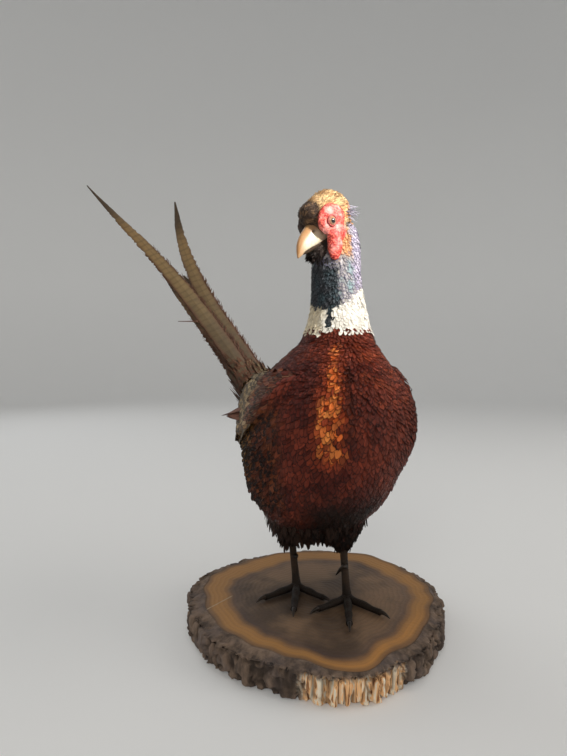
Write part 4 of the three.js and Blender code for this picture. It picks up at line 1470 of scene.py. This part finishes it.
class GrowRump(bpy.types.Operator):
    """Grow the loose coverts over the root of the tail"""

    bl_idname = "pheasant.grow_rump"
    bl_label = "Tail Coverts"

    def execute(self, context):
        rng = np.random.default_rng(10)
        roots = uncovered(sow(limb_grid(COVERTS, 40, 64), lambda ring: 5.6, seed=60))
        count = len(roots.places)
        length = RUMP_VANES.at(past_tail_root(roots.places))
        under = ease(0.1, -0.35, np.sin(TURN * roots.around))
        patch = ease(-0.4, 0.5, wobble(roots.places, 14, 23))
        tint = layered(mottle("685c3a", "4c4530", patch), ("4a2f1e", 0.6 * under))
        rim = mottle("583622", "35241a", rng.uniform(0, 1, count))
        tint = tint * rng.uniform(0.7, 1.2, count)[:, None]
        finish = feather_finish("loose rump plumage", roughness=0.6, barbs=40.0, shine=0.25)
        grow(
            "rump_feathers", "body_feathers", finish, "soft", roots, lie_of_tail, length, 0.36 * length, 2.6,
            Marks(tint, rim, 0.24), seed=29, tilt=0.015)
        self.covers(rng, finish)
        return {"FINISHED"}

    def covers(self, rng, finish):
        """Long loose feathers that run from the rump over the roots of the tail."""
        grid = limb_grid(COVERTS, 40, 64)
        roots = uncovered(sow(grid, lambda ring: 6.4, seed=61, wide=1.2, jitter=0.35))
        roots = roots.keep(past_tail_root(roots.places) > 18)
        distance = past_tail_root(roots.places)
        count = len(roots.places)
        length = rng.uniform(30, 58, count)
        tint = mottle("4e4230", "352a1e", rng.uniform(0, 1, count))
        tint = layered(tint, ("6a4028", 0.7 * (rng.uniform(0, 1, count) < 0.25)))
        outer = roots.places[:, 0] - TAIL_ROOT[0] + 0.3 * distance > 4
        tint = np.where(outer[:, None], mottle("74664a", "4e4430", rng.uniform(0, 1, count)), tint)
        width = np.where(outer, 12.5, 8.5)
        marks = Marks(tint, paint("4a2c1c"), 0.3, bars=5.0)
        grow(
            "tail_cover_feathers", "body_feathers", finish, "lancet", roots, lie_of_covers, length, width,
            1.4, marks, seed=32, tilt=0.008, stray=0.05, hang=True)


class ColourSkin(bpy.types.Operator):
    """Give the skin the markings of the feathers that grow from it"""

    bl_idname = "pheasant.colour_skin"
    bl_label = "Skin Markings"

    def execute(self, context):
        places = np.concatenate(COAT["roots"])
        tints = np.concatenate(COAT["tints"])
        tree = KDTree(len(places))
        for i, place in enumerate(places):
            tree.insert(place, i)
        tree.balance()
        mesh = COAT["mesh"]
        nearest = np.array([tree.find(p)[1] for p in points_of(mesh)])
        ones = np.ones((len(nearest), 1))
        set_value(mesh, "tint", "FLOAT_COLOR", np.hstack([tints[nearest], ones]))
        return {"FINISHED"}


# ---------------------------------------------------------------- tail

def tail_plan():
    """Length, spread, bend and layer of every tail feather, by its node's name."""
    plan = {
        "tail_central_right": (TAIL_LONGEST, -2.2, 61, 6, 3, -1.7, 12.5, -7),
        "tail_central_left": (446, -1.4, -30, 45, 3, 0.3, 12, 7),
    }
    for pair in range(1, 5):
        length = TAIL_CURL_REACH * (0.8 - 0.13 * pair)
        plan[f"tail_side_{pair}_right"] = (
            length, 0.4 * pair, 14 - 2 * pair, -2 * pair, 2, 1.4 + pair, 11, -6.5 - 1.2 * pair)
        plan[f"tail_side_{pair}_left"] = (
            length, -0.5 * pair, -4 - 2 * pair, -2 * pair, 2, 5.4 + pair, 11, 6.5 + 1.2 * pair)
    return plan


TAIL_BENDS = 10


def feather_path(length, fan, sweep, lift, curl, layer, beside, steps):
    """Middle line of a tail feather with its sideways and upward directions."""
    point = np.array(TAIL_ROOT, float)
    rows = []
    for i in range(TAIL_BENDS + 1):
        reach = i / TAIL_BENDS * length / TAIL_CURL_REACH
        turn = math.radians(TAIL_TURN + fan + sweep * reach ** curl)
        rise = math.radians(TAIL_RISE + lift * reach ** curl)
        along = Vector((-math.sin(turn) * math.cos(rise), math.cos(turn) * math.cos(rise), math.sin(rise)))
        roll = math.radians(TAIL_ROLL * min(1, 0.4 + 2 * reach))
        level = Matrix.Rotation(-roll, 3, along) @ Vector((math.cos(turn), math.sin(turn), 0))
        normal = level.cross(along)
        quill = point - np.array(normal) * layer * TAIL_LAYER + np.array(level) * beside * min(1, 5 * reach)
        rows.append((i / TAIL_BENDS, *quill, *level, *normal))
        point = point + np.array(along) * length / TAIL_BENDS
    values = smooth(rows)(np.linspace(0, 1, steps + 1))
    return values[:, :3], unit(values[:, 3:6]), unit(values[:, 6:9])


class MakeTail(bpy.types.Operator):
    """Make the ten long barred tail feathers with quills and frayed edges"""

    bl_idname = "pheasant.make_tail"
    bl_label = "Tail Feathers"

    def execute(self, context):
        finish = self.finish()
        width_at = smooth([(0, 0.42), (0.12, 0.8), (0.35, 1.0), (0.7, 0.86), (0.9, 0.5), (1, 0.09)])
        c = np.array([-1, -0.75, -0.4, -0.12, 0, 0.12, 0.4, 0.75, 1.0])
        for number, (name, plan) in enumerate(tail_plan().items()):
            length, fan, sweep, lift, curl, layer, half, beside = plan
            rng = np.random.default_rng(80 + number)
            steps = int(length / 3)
            path, sideways, upward = feather_path(length, fan, sweep, lift, curl, layer, beside, steps)
            t = np.linspace(0, 1, steps + 1)
            width = half * width_at(t)[:, 0]
            reach = width[:, None] * c[None]
            fray = rng.uniform(0, 1, (steps + 1, 2)) ** 3 * 2.6 * ease(1.0, 0.8, t)[:, None]
            reach[:, 0] += fray[:, 0]
            reach[:, -1] -= fray[:, 1]
            ridge = 0.6 * (1 - 0.8 * t)[:, None] * ease(0.2, 0.0, np.abs(c))[None]
            wave = 0.3 * np.sin(t * 50 + number)[:, None] * c[None] ** 2
            above = ridge - 0.22 * np.abs(reach) * np.abs(c)[None] + wave + 0.35
            below = above - 0.7 - ridge * 1.2
            top, bottom = (
                path[:, None] + sideways[:, None] * reach[..., None] + upward[:, None] * height[..., None]
                for height in (above, below))
            ring = capped(np.concatenate([top, bottom[:, ::-1], top[:, :1]], 1))
            across = np.concatenate([c, c[::-1], c[:1]])[None]
            share = padded(t)[:, None]
            bm = bmesh.new()
            wrap(bm, ring, across=across, along=share * length * MM, share=share)
            self.barbs(bm, path, sideways, upward, width, length, rng)
            if name == LOOSE_BARB["feather"]:
                i = int(LOOSE_BARB["at"] * steps)
                self.loose_barb(bm, path[i] - sideways[i] * half)
            outward(bm)
            finish_piece(name + "_dressed", bm, finish, (name,))
        return {"FINISHED"}

    def barbs(self, bm, path, sideways, upward, half, length, rng):
        """Loose barbs that stand out from both edges of the vane."""
        steps = len(path) - 1
        for _ in range(int(length / 1.1)):
            t = rng.uniform(0.24, 0.85) ** 2
            i = min(int(t * steps), steps - 3)
            side = rng.choice((-1, 1))
            ahead = unit(path[i + 2] - path[i])
            root = path[i] + sideways[i] * side * (half[i] - 2.4) - upward[i] * (0.1 * half[i])
            reach = rng.uniform(3.6, 11.5) * (1 - 0.7 * t)
            lean = rng.uniform(0.9, 1.5) - 0.5 * float(ease(0.4, 0.1, t))
            drop = rng.normal(-0.1, 0.25)
            stations = []
            for s in (0.0, 0.5, 1.0):
                towards = sideways[i] * side * (1 - 0.25 * s) + ahead * lean + upward[i] * drop * s
                stations.append((*(root + reach * s * towards), 0.8 * (1 - 0.8 * s), 0.16 * (1 - 0.5 * s)))
            wrap(bm, capped(limb_grid(stations, 3, 4)), across=side * 1.0, along=t * length * MM, share=t)

    def loose_barb(self, bm, root):
        """The one long barb that has come away from the vane."""
        stations = []
        for share in np.linspace(0, 1, 5):
            spot = root + share * LOOSE_BARB["length"] * np.array(LOOSE_BARB["towards"])
            stations.append((*spot, 1.0 - 0.5 * share, 1.0 - 0.5 * share))
        wrap(bm, capped(limb_grid(stations, 10, 6)), across=-1.0, along=0.05, share=0.1)

    def finish(self):
        recipe = Recipe("barred tail feather", 0.55, Specular_IOR_Level=0.3)
        across, along, share = (recipe.value(name) for name in ("across", "along", "share"))
        wide = across.size()
        wander = recipe.speckle(60.0) - 0.5
        fine = recipe.speckle(900.0, 2.0) - 0.5
        bar = (along * 560.0 - wide * wide * 1.6 + wander * 5.0).sine().between(0.25, 0.85)
        fringe = (wide + fine * 0.5 + wander * 0.3).between(0.45, 0.95) * (1 - share.between(0.6, 0.9) * 0.6)
        tip = (share + fine * 0.05).between(0.8, 0.92)
        quill = 1 - wide.between(0.03, 0.1)
        colour = recipe.over(
            recipe.mottle(wander.between(-0.15, 0.2), "86724a", "6e6040"),
            (share.between(0.3, 0.85), "9a7c50"),
            ((1 - along.between(0.13, 0.4)) * 0.78, "3f3227"),
            (bar * (1 - wide.between(0.5, 0.95)) * 0.26, "3d2f1e"),
            (fringe * 0.8, "5c3a2c"),
            (tip * 0.85, "3a2c22"),
            (quill * 0.25, "5a4426"))
        strands = (along * 5200.0 + wide * 16.0).sine()
        colour = recipe.dimmed(colour, 0.96 + strands * 0.07 + fine * 0.12)
        return recipe.done(colour, height=strands * 0.5 + fine, strength=0.6)


# ---------------------------------------------------------------- head's bare parts

def about(grid, centre, radii):
    """Distance from a centre, as a share of an ellipsoid's radii."""
    return np.linalg.norm((grid - centre) / radii, axis=-1)


class MakeBill(bpy.types.Operator):
    """Make both halves of the bill with nostrils and a worn horn finish, with painted shade on the ridge, the
    tip and the lower half
    """

    bl_idname = "pheasant.make_bill"
    bl_label = "Bill"

    def execute(self, context):
        finish = self.finish()
        upper = bill_grid(upper_bill_at, BILL_TIP, 1, 44, 48)
        for side in SIDES:
            hollow = about(upper, (side * 6.6, NOSTRIL_Y, -1.2), (3.0, 3.4, 1.5))
            upper = upper - np.array([side, 0, 0.2]) * (1.5 * ease(1.0, 0.3, hollow))[..., None]
            flap = about(upper, (side * 6.6, NOSTRIL_Y, 1.4), (3.6, 4.6, 1.6))
            upper = upper + np.array([side, 0, 0.1]) * (0.7 * ease(1.0, 0.2, flap))[..., None]
        lower = bill_grid(lower_bill_at, LOWER_BILL_TIP, -1, 30, 40)
        for name, grid in (("upper_bill", upper), ("lower_bill", lower)):
            y, z = grid[..., 1], grid[..., 2]
            low, high = z.min(1, keepdims=True), z.max(1, keepdims=True)
            nostril = np.minimum(*[
                about(grid, (side * 6.4, NOSTRIL_Y, -1.4), (3.0, 2.9, 1.1)) for side in SIDES])
            values = {
                "start": ease(BILL_START - 13, BILL_START - 6, y),
                "nostril": ease(1.0, 0.5, nostril),
                # ridge and forward carry the painted shade on the bill's ridge and tip
                "ridge": ease(0.5, 0.78, (z - low) / np.maximum(high - low, 0.1)),
                "forward": ease(y.min() + 15, y.min() + 3, y),
                # under carries the painted shade of the lower bill
                "under": 0 * y + (name == "lower_bill"),
            }
            bm = bmesh.new()
            wrap(bm, capped(moved(grid, HEAD_TO_ROW)), **{key: padded(rows) for key, rows in values.items()})
            outward(bm)
            finish_piece(name + "_dressed", bm, finish, (name,))
        return {"FINISHED"}

    def finish(self):
        recipe = Recipe("horn", 0.34, Coat_Roughness=0.25, Subsurface_Weight=0.08, Subsurface_Scale=0.002)
        start, nostril, ridge, forward, under = (
            recipe.value(name) for name in ("start", "nostril", "ridge", "forward", "under"))
        cloud = recipe.speckle(180.0, 4.0)
        streak = recipe.speckle(420.0, 3.0, 0.6)
        colour = recipe.over(
            tuple(colours().horn),
            (cloud.between(0.35, 0.7), "dbd0b8"),
            # painted shade: tan on the ridge and the tip
            (ridge * 0.85, "a8743f"),
            (forward * 0.75, "a97845"),
            (start * 0.6 * cloud.between(0.2, 0.6), "7d5c3e"),
            (streak.between(0.58, 0.75) * 0.3, "8d6f4d"),
            (nostril * 0.9, "1c120d"))
        # painted shade: the lower bill is painted dark brown, as in shade
        dark = recipe.mottle(cloud.between(0.35, 0.7), "1d1511", "4b382a")
        colour = recipe.mix(under * 0.94, colour, dark)
        return recipe.done(colour, 0.26 + streak * 0.2 + start * 0.1, streak * 0.6 + cloud * 0.4)


class MakeEyes(bpy.types.Operator):
    """Make the glass eyes and the bare lids round them"""

    bl_idname = "pheasant.make_eyes"
    bl_label = "Eyes"

    def execute(self, context):
        eye_finish = self.finish()
        lid = Recipe("lid", 0.5)
        pores = lid.cells(900.0)
        lid_colour = lid.mottle(pores.between(0.0, 0.8), "5e1d1a", "a8433c")
        lid_finish = lid.done(lid_colour, height=pores, strength=0.6)
        for side, word in SIDES.items():
            self.ball(side, word, eye_finish)
            self.lid(side, word, lid_finish)
        return {"FINISHED"}

    def ball(self, side, word, finish):
        """A glass ball with a raised cornea, which keeps its angle from the line of sight."""
        bm = bmesh.new()
        bmesh.ops.create_uvsphere(bm, u_segments=40, v_segments=28, radius=EYE_RADIUS * MM)
        layer = bm.verts.layers.float.new("gaze")
        for vert in bm.verts:
            vert[layer] = math.degrees(vert.co.angle(Vector((0, 0, 1))))
            if vert[layer] < CORNEA_ANGLE:
                vert.co *= 1 + 0.05 * (1 - vert[layer] / CORNEA_ANGLE)
        turn = Matrix.Rotation(math.radians(90 * side), 4, "Y") @ Matrix.Rotation(math.radians(8), 4, "X")
        place = Matrix.Translation(HEAD_FRAME @ Vector((side * 16.6, *EYE_AT)) * MM)
        bmesh.ops.transform(bm, matrix=place @ HEAD_FRAME.to_3x3().to_4x4() @ turn, verts=bm.verts)
        finish_piece("glass_eye_" + word, bm, finish, ("eye_" + word,))

    def lid(self, side, word, finish):
        """A wrinkled ring of bare skin round the ball."""
        angle = np.linspace(0, TURN, 49)
        small = np.linspace(0, TURN, 13)
        centre = np.stack([0 * angle, 5.1 * np.cos(angle), 4.5 * np.sin(angle)], -1)
        fold = 0.95 + 0.12 * np.sin(9 * angle) * np.cos(4 * angle)
        tube = (centre[:, None] + unit(centre)[:, None] * (fold[:, None, None] * np.cos(small)[None, :, None])
                + np.array([1.0, 0, 0]) * (0.9 * np.sin(small))[None, :, None])
        bm = bmesh.new()
        wrap(bm, moved(tube * (side, 1, 1) + (side * 19.4, *EYE_AT), HEAD_TO_ROW))
        outward(bm)
        finish_piece("eyelid_" + word, bm, finish)

    def finish(self):
        recipe = Recipe("glass eye", 0.12, Coat_Weight=1.0, Coat_Roughness=0.1, Specular_IOR_Level=0.7)
        gaze = recipe.value("gaze")
        rays = recipe.speckle(600.0)
        colour = recipe.mix(gaze.between(23.0, 27.0), shade("050404"), tuple(colours().iris))
        return recipe.done(recipe.over(
            colour,
            ((rays - 0.5).size() * 1.2 * gaze.between(26.0, 40.0), "8a5a3a"),
            (gaze.between(56.0, 66.0), "3a1a12")))


class MakeWattles(bpy.types.Operator):
    """Make the bare, pimpled red face on both sides, with painted highlights and a painted shadow on the
    right one's front
    """

    bl_idname = "pheasant.make_wattles"
    bl_label = "Wattles"

    def execute(self, context):
        finish = self.finish()
        for side, word in SIDES.items():
            bm = bmesh.new()
            wrap(bm, ball_grid((side * 14.6, -4, -1), (6.3, 16.7, 14.7), rows=28, sides=40))
            lobe = ball_grid((0, 0, 0), (5.7, 8.2, 15.7), rows=24, sides=32)
            tip = np.array(Matrix.Translation((side * 14, -13, -21)) @ Matrix.Rotation(
                math.radians(-HEAD_PITCH), 4, "X"))
            wrap(bm, moved(lobe, tip))
            wrap(bm, ball_grid((side * 14.4, -5.5, -13), (6.2, 12, 11), rows=24, sides=32))
            outward(bm)
            mesh = remeshed(bm, WATTLE_VOXEL, rounds=6)
            points = points_of(mesh)
            normals = np.empty(len(mesh.vertices) * 3)
            mesh.vertex_normals.foreach_get("vector", normals)
            pimple = np.array([1 - min(noise.voronoi(Vector(p) / 1.5)[0][0] * 1.5, 1) for p in points])
            fold = np.array([noise.noise(Vector(p) / 5) for p in points])
            round_eye = np.hypot(points[:, 1] - EYE_AT[0], points[:, 2] - EYE_AT[1])
            height = 0.45 * pimple + 0.8 * fold - 0.2 - 0.9 * ease(9.0, 5.5, round_eye)
            points = points + normals.reshape(-1, 3) * height[:, None]
            y, z = points[:, 1:].T
            mesh.vertices.foreach_set("co", (moved(points, HEAD_TO_ROW) * MM).ravel())
            mesh.update()
            set_value(mesh, "pimple", "FLOAT", pimple)
            set_value(mesh, "lid", "FLOAT", ease(9.5, 5.0, round_eye))
            # painted shadow: the right wattle's front is darkened, as shaded by the dark bristles before it
            set_value(mesh, "dark", "FLOAT", ease(-11, -15, y) * ease(-14, -8, z) * (side < 0))
            finish_piece("wattle_dressed_" + word, mesh, finish, ("wattle_" + word,))
        return {"FINISHED"}

    def finish(self):
        recipe = Recipe("bare red face", 0.5, Subsurface_Weight=0.12, Subsurface_Scale=0.002)
        pimple, lid = recipe.value("pimple"), recipe.value("lid")
        cloud = recipe.speckle(120.0)
        colour = recipe.over(
            recipe.mix(pimple.between(0.1, 0.6), shade("a82a26"), tuple(colours().wattle)),
            # painted highlights: pale pink patches where light shines on the bare face
            (cloud.between(0.45, 0.7) * 0.6, "ffbab0"),
            (lid * 0.35, "8a2a24"),
            # painted shadow on the right wattle's front
            (recipe.value("dark"), "3a2a22"))
        pores = recipe.speckle(1500.0, 2.0)
        return recipe.done(colour, 0.62 - pimple * 0.25, pores, distance=0.0002)


# ---------------------------------------------------------------- legs

def plated(grid, plate, depth, amount):
    """The limb's grid with overlapping scales that stand out by depth where amount is 1."""
    ray = unit(grid - grid[:, :-1].mean(1, keepdims=True))
    return grid + ray * (depth * (0.4 - plate) * amount(ray))[..., None]


class MakeLegs(bpy.types.Operator):
    """Make the scaled shanks, toes, claws and spurs"""

    bl_idname = "pheasant.make_legs"
    bl_label = "Legs"

    def execute(self, context):
        skin, horn = self.skin_finish(), self.horn_finish()
        for side, word in SIDES.items():
            x, y = RIGHT_FOOT if side < 0 else LEFT_FOOT
            self.shank(side, word, x, y, skin)
            self.foot(side, word, x, y, skin, horn)
            spur = (
                (x + 1, y + 5, SOLE + 34, 3, 3),
                (x + 1 - 2.5 * side, y + 11, SOLE + 29, 2.1, 2.1),
                (x + 1 - 6 * side, y + 15, SOLE + 22, 0.5, 0.5),
            )
            limb_piece("spur_dressed_" + word, spur, 12, 16, horn, "spur_" + word)
        return {"FINISHED"}

    def shank(self, side, word, x, y, skin):
        radius = SHANK_RADIUS
        top = (x + 2 * side + 4, y + 24, BELLY_HEIGHT + 22)
        stations = (
            (x, y + 0.5, SOLE + TOE_DEPTH / 2 + 2.2, radius + 0.8, radius + 0.8),
            (x, y + 3, SOLE + 16, radius - 0.2, radius + 0.2),
            ((x + top[0]) / 2, (y + top[1]) / 2 + 1, (SOLE + top[2]) / 2 + 3, radius - 0.3, radius - 0.1),
            (*top, radius + 0.6, radius + 0.8),
        )
        grid = limb_grid(stations, 110, 36)
        ray = unit(grid - grid[:, :-1].mean(1, keepdims=True))
        run = np.linspace(0, 26, len(grid))[:, None] + 0.12 * np.abs(ray[..., 0])
        plate = (run % 1) ** 3
        grid = plated(grid, plate, 0.42, lambda ray: ease(-0.1, 0.6, -ray[..., 1]))
        bm = bmesh.new()
        wrap(bm, capped(grid), plate=padded(plate))
        outward(bm)
        finish_piece("shank_dressed_" + word, bm, skin, ("shank_" + word,))

    def foot(self, side, word, x, y, skin, horn):
        bm = bmesh.new()
        knuckle = ball_grid((x, y, SOLE + TOE_DEPTH / 2 + 0.8), (6.2, 6.6, TOE_DEPTH / 2 + 0.7))
        wrap(bm, knuckle, plate=0.2)
        for key, length in TOE_LENGTHS.items():
            turn = math.radians(FOOT_TURN + side * TOE_SPREADS[key])
            ahead_x, ahead_y = -math.sin(turn), -math.cos(turn)
            joints = 3 if key == "middle" else 2
            stations = []
            for t in np.linspace(-0.05, 1, 15):
                swell = 0.35 * math.cos(TURN * joints * t)
                wide = 4.4 - 1.6 * max(t, 0) + swell
                thick = 3.9 - 1.3 * max(t, 0) + 0.6 * swell
                run = length * t
                stations.append((x + ahead_x * run, y + ahead_y * run, SOLE + thick + 0.15, wide, thick))
            grid = limb_grid(stations, int(length * 1.6), 22)
            run = np.linspace(0, length / 2.6, len(grid))[:, None]
            plate = (run % 1) ** 3 * np.ones(grid.shape[:2])
            grid = plated(grid, plate, 0.34, lambda ray: ease(0.0, 0.5, ray[..., 2]))
            wrap(bm, capped(grid), plate=padded(plate))
            claw = []
            for t, height, radius in CLAW_STATIONS:
                run = length + t
                claw.append((x + ahead_x * run, y + ahead_y * run, SOLE + height, radius, radius))
            limb_piece(f"claw_{key}_dressed_{word}", claw, 14, 16, horn, f"claw_{key}_{word}")
        turn = math.radians(FOOT_TURN)

        def behind(stations):
            return [(x + math.sin(turn) * t, y + math.cos(turn) * t, SOLE + height, radius, radius)
                    for t, height, radius in stations]

        hind = limb_grid(behind(((0, 3.6, 3), (6, 6, 2.8), (10, 7.4, 2.4), (14, 7.4, 1.9))), 18, 18)
        wrap(bm, capped(hind), plate=0.2)
        outward(bm)
        finish_piece("foot_dressed_" + word, bm, skin, ("foot_" + word,))
        nail = behind(((13, 7.4, 1.9), (17, 6.9, 1.5), (21, 4.6, 1.1), (24, 1.6, 0.4)))
        limb_piece("claw_hind_dressed_" + word, nail, 14, 14, horn, "claw_hind_" + word)

    def skin_finish(self):
        recipe = Recipe("scaled leg skin", 0.6, Specular_IOR_Level=0.25)
        cell = recipe.cells(700.0, "DISTANCE_TO_EDGE")
        cloud = recipe.speckle(90.0)
        z = recipe.split(recipe.place())[2]
        colour = recipe.over(
            recipe.mottle(cloud.between(0.35, 0.65), "241a11", "3a2a1c"),
            ((1 - z.between(0.034, 0.055)) * 0.7, "170f09"),
            (recipe.value("plate").between(0.5, 1.0) * 0.6, "221a15"),
            ((1 - cell.between(0.0, 0.12)) * 0.6 * 0.5, "2c231d"))
        relief = cell.between(0.0, 0.15) + cloud * 0.3
        return recipe.done(colour, 0.5 + cloud * 0.3, relief, strength=0.7)

    def horn_finish(self):
        recipe = Recipe("claw horn", 0.45, Specular_IOR_Level=0.3)
        cloud = recipe.speckle(220.0)
        colour = recipe.mottle(cloud.between(0.35, 0.7), "18120d", "382c22")
        return recipe.done(colour, 0.3 + cloud * 0.25, cloud, distance=0.0002)


# ---------------------------------------------------------------- room, light and camera

ROOM_RADIUS, ROOM_COVE, ROOM_HEIGHT = 3.4, 0.7, 3.6
LIGHT_AIM = (0.0, 0.0, 0.22)
LIGHTS = {
    # place, width and height, power, colour
    "key": ((-1.0, -1.5, 1.35), (0.9, 1.0), 8.5, (1.0, 0.96, 0.9)),
    "fill": ((1.6, -0.7, 1.2), (1.4, 1.4), 9.5, (1.0, 0.96, 0.92)),
    "top": ((0.0, 0.3, 2.2), (1.8, 1.8), 9, (1.0, 0.99, 0.97)),
    "back": ((-0.6, 1.8, 1.3), (1.4, 1.4), 6, (0.95, 0.97, 1.0)),
}
BEAM_PLACE = (0.709, -1.235, 1.18)
BEAM_AIM = (-0.01, -0.03, 0.42)
CAMERA_PLACE = (-0.2522, -0.5388, 0.277)
CAMERA_DOWN = 2.717
CAMERA_TURN = -22


class MakeStage(bpy.types.Operator):
    """Set the pale floor and wall, the soft lights and the camera"""

    bl_idname = "pheasant.make_stage"
    bl_label = "Stage"

    def execute(self, context):
        room = self.room(context)
        for name, (place, size, power, colour) in LIGHTS.items():
            lamp = self.light(context, name, "AREA", place, LIGHT_AIM, power, colour).data
            lamp.shape = "RECTANGLE"
            lamp.size, lamp.size_y = size
        self.beam(context, room)
        world = bpy.data.worlds.new("room air")
        world.use_nodes = True
        air = world.node_tree.nodes["Background"]
        air.inputs[0].default_value = (0.93, 0.95, 1.0, 1.0)
        air.inputs[1].default_value = 0.1
        context.scene.world = world
        context.scene.view_settings.view_transform = "Standard"
        self.camera(context)
        return {"FINISHED"}

    def room(self, context):
        """A round floor that curves up into its wall."""
        bm = bmesh.new()
        flat = ROOM_RADIUS - ROOM_COVE
        profile = [(0.0, 0.0), (1.2, 0.0), (flat, 0.0)]
        for step in range(1, 9):
            angle = step / 8 * math.pi / 2
            profile.append((flat + ROOM_COVE * math.sin(angle), ROOM_COVE - ROOM_COVE * math.cos(angle)))
        profile.append((ROOM_RADIUS, ROOM_HEIGHT))
        verts = [bm.verts.new((x, 0, z)) for x, z in profile]
        edges = [bm.edges.new(pair) for pair in zip(verts, verts[1:])]
        bmesh.ops.spin(
            bm, geom=verts + edges, axis=(0, 0, 1), cent=(0, 0, 0), steps=72, angle=TURN, use_merge=True)
        bmesh.ops.remove_doubles(bm, verts=bm.verts, dist=1e-5)
        outward(bm)
        mesh = bpy.data.meshes.new("room")
        bm.to_mesh(mesh)
        bm.free()
        mesh.flip_normals()
        mesh.shade_smooth()
        recipe = Recipe("pale room", 0.9, Specular_IOR_Level=0.1, Emission_Strength=0.1)
        recipe.set("Emission Color", (1.0, 1.0, 1.0, 1.0))
        mesh.materials.append(recipe.done(tuple(colours().floor)))
        room = bpy.data.objects.new("room", mesh)
        context.scene.collection.objects.link(room)
        return room

    def light(self, context, name, kind, place, aim, power, colour):
        lamp = bpy.data.lights.new(name, kind)
        lamp.energy = power
        lamp.color = colour
        holder = bpy.data.objects.new(name, lamp)
        holder.location = place
        towards = Vector(aim) - Vector(place)
        holder.rotation_euler = towards.to_track_quat("-Z", "Y").to_euler()
        context.scene.collection.objects.link(holder)
        return holder

    def beam(self, context, room):
        """A narrow light on the breast, neck and head that leaves the room as it is."""
        holder = self.light(context, "beam", "SPOT", BEAM_PLACE, BEAM_AIM, 250, (1.0, 0.97, 0.92))
        holder.data.spot_size = math.radians(11)
        holder.data.spot_blend = 0.7
        holder.data.shadow_soft_size = 0.09
        unlit = bpy.data.collections.new("not lit by the beam")
        unlit.objects.link(room)
        holder.light_linking.receiver_collection = unlit
        for item in unlit.collection_objects:
            item.light_linking.link_state = "EXCLUDE"

    def camera(self, context):
        data = bpy.data.cameras.new("camera")
        data.sensor_fit = "AUTO"
        data.sensor_width = 36
        data.lens = 28.1
        data.clip_start = 0.01
        holder = bpy.data.objects.new("camera", data)
        holder.location = CAMERA_PLACE
        holder.rotation_euler = Euler((math.radians(90 - CAMERA_DOWN), 0, math.radians(CAMERA_TURN)))
        context.scene.collection.objects.link(holder)
        context.scene.camera = holder


# ---------------------------------------------------------------- panel, registration and the run

MAKERS = (
    MakeSlice, MakeSkin, GrowBody, GrowNeck, GrowHead, GrowThighs, GrowWings, GrowRump, ColourSkin,
    MakeTail, MakeBill, MakeEyes, MakeWattles, MakeLegs, MakeStage,
)


class PheasantPanel(bpy.types.Panel):
    """Sizes, colours and the steps that dress the bird"""

    bl_idname = "VIEW3D_PT_pheasant"
    bl_label = "Mounted Pheasant"
    bl_space_type = "VIEW_3D"
    bl_region_type = "UI"
    bl_category = "Pheasant"

    def draw(self, context):
        for group in (sizes(), colours()):
            box = self.layout.box()
            for name in group.__annotations__:
                box.prop(group, name)
        for maker in MAKERS:
            self.layout.operator(maker.bl_idname)


CLASSES = (PheasantSizes, PheasantColours, *MAKERS, PheasantPanel)


def register():
    for item in CLASSES:
        bpy.utils.register_class(item)
    bpy.types.Scene.pheasant_sizes = bpy.props.PointerProperty(type=PheasantSizes)
    bpy.types.Scene.pheasant_colours = bpy.props.PointerProperty(type=PheasantColours)


def unregister():
    del bpy.types.Scene.pheasant_colours
    del bpy.types.Scene.pheasant_sizes
    for item in reversed(CLASSES):
        bpy.utils.unregister_class(item)


def main():
    register()
    for maker in MAKERS:
        group, name = maker.bl_idname.split(".")
        getattr(getattr(bpy.ops, group), name)()


if __name__ == "__main__":
    main()
